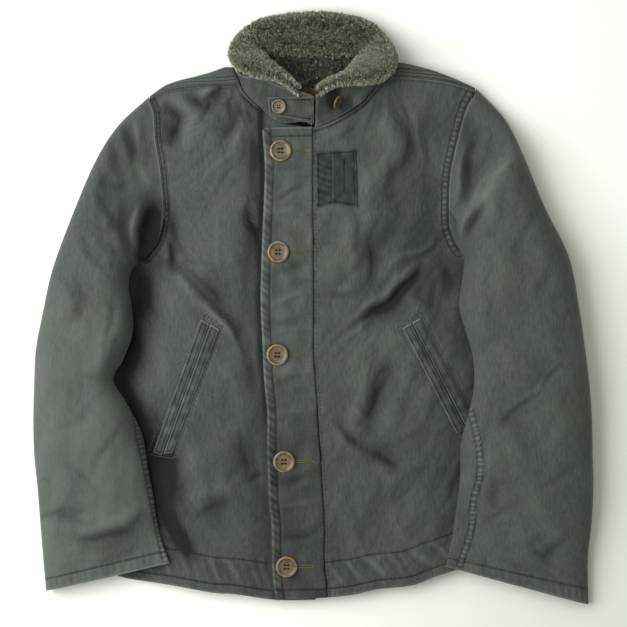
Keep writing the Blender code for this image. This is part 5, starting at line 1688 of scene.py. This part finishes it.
def lay_cloth(cloth, patch_cloth):
    """The sheets of cloth. Returns the sleeves, and a tree of each other piece to measure its height by."""
    front_right = ride(build_front("right", cloth), "cloth", "front_right")
    front_left = ride(build_front("left", cloth), "cloth", "front_left")
    placket = ride(build_placket(cloth), "cloth", "placket")
    back = ride(build_back(cloth), "cloth", "back")
    sleeves = {hand: ride(build_sleeve(hand, cloth), "cloth", "sleeve_" + hand) for hand in ("right", "left")}
    collar = ride(build_collar(cloth), "cloth", "collar_cloth")

    trees = {"right": tree_of(front_right), "left": tree_of(front_left), "placket": tree_of(placket),
             "back": tree_of(back), "collar": tree_of(collar)}
    for name, corners in WELTS.items():
        hand = "right" if "welt_right" in name else "left"
        piece = follow(name + "_cloth", corners, trees[hand], 0.3, 1.8, cloth, 110, 12, pale_top=1.1)
        ride(piece, "cloth", name)
    patch = follow("patch_cloth", CHEST_PATCH, trees["left"], 0.3, 1.1, patch_cloth, 70, 60, patch_relief,
                   patch_foot)
    ride(patch, "patch", "chest_patch")
    tab = follow("tab_cloth", CHIN_TAB, trees["collar"], 0.5, 2.0, cloth, 34, 56)
    ride(tab, "cloth", "chin_tab")
    trees["tab"] = tree_of(tab)
    trees["patch"] = tree_of(patch)
    return sleeves, trees


def roll_collar(fur, backing):
    """The collar's pile: a body inside its solid, and strands on it in three pieces that overlap by a row."""
    core = pile_sections(150, 44, 6.0)
    base = ride(loft_mesh("collar_pile_body", core, backing), "pile", "collar_pile")
    strands = 46000

    for k, (first, last) in enumerate(((0, 56), (55, 102), (101, 150))):
        part = core[first:last]
        middle = 0.5 * (part.mean(axis=1)[:-1] + part.mean(axis=1)[1:])[:, None, :]

        def away(centre, middle=middle):
            return centre - middle

        def seen(centre, middle=middle):
            return np.where(centre[..., 2] > middle[..., 2] - 2, 1.0, 0.3)

        hair = grow_fur("collar_fur_%d" % (k + 1), part, True, strands, 6.6, 0.42, fur, 201 + k, away, seen)
        ride(hair, "pile")


def line_neck(dark_fur, dark_backing, label):
    """What shows inside the neck: a piece of the pile lining, and the bare tape on it."""
    foot, wall, tape_foot, tape_wall = 3.3, 1.4, 7.6, 0.7
    plan = quad_patch(NECK_LINING, 40, 40)
    lining = sheet_mesh("lining_backing", raised(plan, foot + wall), raised(plan, foot), dark_backing,
                        np.zeros(plan.shape[:2]))
    ride(lining, "lining", "neck_lining")
    lining_fur = grow_fur("lining_fur", raised(quad_patch(NECK_FUR, 40, 40), 4.7), False, 24000, 5.0, 0.55,
                          dark_fur, 211, lambda c: np.broadcast_to(np.array([0, 0, 1.0]), c.shape))
    ride(lining_fur, "lining")
    plan = quad_patch(LABEL_TAPE, 20, 20)
    # Painted shadow: the tape is painted dark below its top, where the front of the collar shades it
    tape = sheet_mesh("label_tape", raised(plan, tape_foot + tape_wall), raised(plan, tape_foot), label,
                      -smooth((254 - plan[..., 1]) / 5))
    ride(tape, "label", "neck_label")


def sew(trees, sleeves, thread, pale_thread):
    """The rows of stitches along the seams, the hem, the cuffs, the patch and the tab."""
    stitches, pale = Thread(), Thread()
    for k, hand in enumerate(("right", "left")):
        turn = 1 if hand == "left" else -1
        front = [trees[hand]]
        for row, offset in enumerate(ARMHOLE_STITCHES):
            stitches.row(front, ARMHOLE_PATH[hand].beside(-turn * offset, 2), seed=10 * k + row)
        for row, offset in enumerate(HEM_STITCHES):
            stitches.row(front, HEM_PATH[hand].beside(offset, 2), seed=20 + 10 * k + row)
        for row, offset in enumerate(SHOULDER_STITCHES):
            stitches.row([trees["back"]], SHOULDER_PATH[hand].beside(turn * offset, 2),
                         seed=40 + 10 * k + row)
        pale.row(front, POCKET_PATH[hand].beside(0, 2), seed=60 + k)
        sleeve_tree = [tree_of(sleeves[hand])]
        for row, offset in enumerate(SLEEVE_SEAM_STITCHES):
            stitches.row(sleeve_tree, SLEEVE_SEAM[hand].beside(offset, 2), seed=70 + 10 * k + row)
        before, cuff = (np.array(row[0:4], float).reshape(2, 2) for row in SLEEVE_ROWS[hand][-2:])
        up_sleeve = before.mean(axis=0) - cuff.mean(axis=0)
        up_sleeve *= CUFF_STITCHES / np.linalg.norm(up_sleeve)
        ends = np.linspace(cuff[0] + up_sleeve, cuff[1] + up_sleeve, 60)
        stitches.row(sleeve_tree, ends, seed=90 + k)
    placket_tree = [trees["placket"]]
    stitches.row(placket_tree, EDGE_PATH.beside(-10.4, 2)[2:-6], seed=100)
    stitches.row(placket_tree, [(-51, 206), (-3, 206.5)], seed=101)
    stitches.row([trees["left"]], SEAM_PATH.beside(3.2, 2), seed=102)
    stitches.row(placket_tree, [(-36, -341), (14, -339)], seed=103)
    for row, line in enumerate(PATCH_STITCHES):
        stitches.row([trees["patch"]], line, 2.6, seed=110 + row)
    pale.row([trees["tab"]], TAB_STITCHES, 2.8, seed=112)
    ride(stitches.build("stitches_tonal", thread), "cloth")
    ride(pale.build("stitches_pale", pale_thread), "cloth")


def work_buttonholes(trees, olive_thread):
    """Rows of stitches on both sides of each buttonhole, and a fan of them at its end on the placket."""
    holes = Thread()

    def two_rows(tree, xs, middle, slit, reach, lift, radius):
        for x in xs:
            for side in (-1, 1):
                near, far = middle + side * slit, middle + side * reach
                a, b = drop_on(tree, x, near), drop_on(tree, x, far)
                holes.stitch((x, near, a[0] + lift), (x, far, b[0] + 0.1), a[1], radius)

    for (bx, by), end in zip(FRONT_BUTTONS, BUTTONHOLE_ENDS):
        two_rows(trees["placket"], np.arange(bx + 2, end - 1, 0.62), by, 0.45, 2.1, 0.35, 0.3)
        for turn in np.linspace(-1.4, 1.4, 9):
            p = np.array([end + 0.4 * math.cos(turn), by + 0.5 * math.sin(turn)])
            q = np.array([end + 2.2 * math.cos(turn), by + 2.2 * math.sin(turn)])
            a, b = drop_on(trees["placket"], *p), drop_on(trees["placket"], *q)
            if a and b:
                holes.stitch((*p, a[0] + 0.35), (*q, b[0] + 0.1), a[1], 0.3)
    two_rows(trees["tab"], np.arange(-38, -20, 0.62), 241, 0.4, 1.8, 0.3, 0.26)
    ride(holes.build("buttonholes", olive_thread), "cloth")


def build():
    camera_and_light()
    cloth = cloth_look("cloth_faded", (0.0572, 0.0666, 0.0637), (0.0628, 0.0651, 0.0612),
                       (0.15, 0.168, 0.152))
    patch_cloth = cloth_look("cloth_patch", (0.024, 0.034, 0.032), (0.028, 0.034, 0.032), (0.08, 0.1, 0.09))
    fur = fur_look("pile_strands", (0.11, 0.112, 0.088), (0.5, 0.5, 0.405))
    backing = plain_look("pile_backing", (0.11, 0.11, 0.09), 1.0, 0.1, 0.3)
    dark_fur = fur_look("lining_strands", (0.15, 0.147, 0.128), (0.36, 0.35, 0.3))
    dark_backing = plain_look("lining_backing", (0.11, 0.108, 0.095), 1.0, 0.1, 0.3)
    label = cloth_look("label_tape", (0.15, 0.10, 0.04), (0.12, 0.08, 0.035), (0.2, 0.15, 0.07))
    horn = horn_look("button_horn", (0.055, 0.04, 0.022), (0.2, 0.135, 0.065))
    horn_dark = horn_look("button_small_horn", (0.06, 0.045, 0.025), (0.15, 0.105, 0.055))
    thread = plain_look("thread_tonal", (0.035, 0.038, 0.034), 0.8, 0.2, 0.2)
    pale_thread = plain_look("thread_pale", (0.17, 0.17, 0.14), 0.8, 0.2, 0.2)
    olive_thread = plain_look("thread_olive", (0.125, 0.13, 0.06), 0.8, 0.2, 0.25)
    dark_thread = plain_look("thread_dark", (0.02, 0.018, 0.015), 0.8, 0.2, 0.2)

    sleeves, trees = lay_cloth(cloth, patch_cloth)
    roll_collar(fur, backing)
    line_neck(dark_fur, dark_backing, label)
    sew(trees, sleeves, thread, pale_thread)
    work_buttonholes(trees, olive_thread)
    for name in ["button_%d" % number for number in range(1, 6)] + ["tab_button", "spare_button"]:
        size, look = (SMALL_BUTTON_RADIUS, horn_dark) if "_button" in name else (BUTTON_RADIUS, horn)
        made, sewn_on = build_button(name, size, look, dark_thread)
        ride(made, "button", name)
        ride(sewn_on, "button")


def main():
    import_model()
    build()


main()
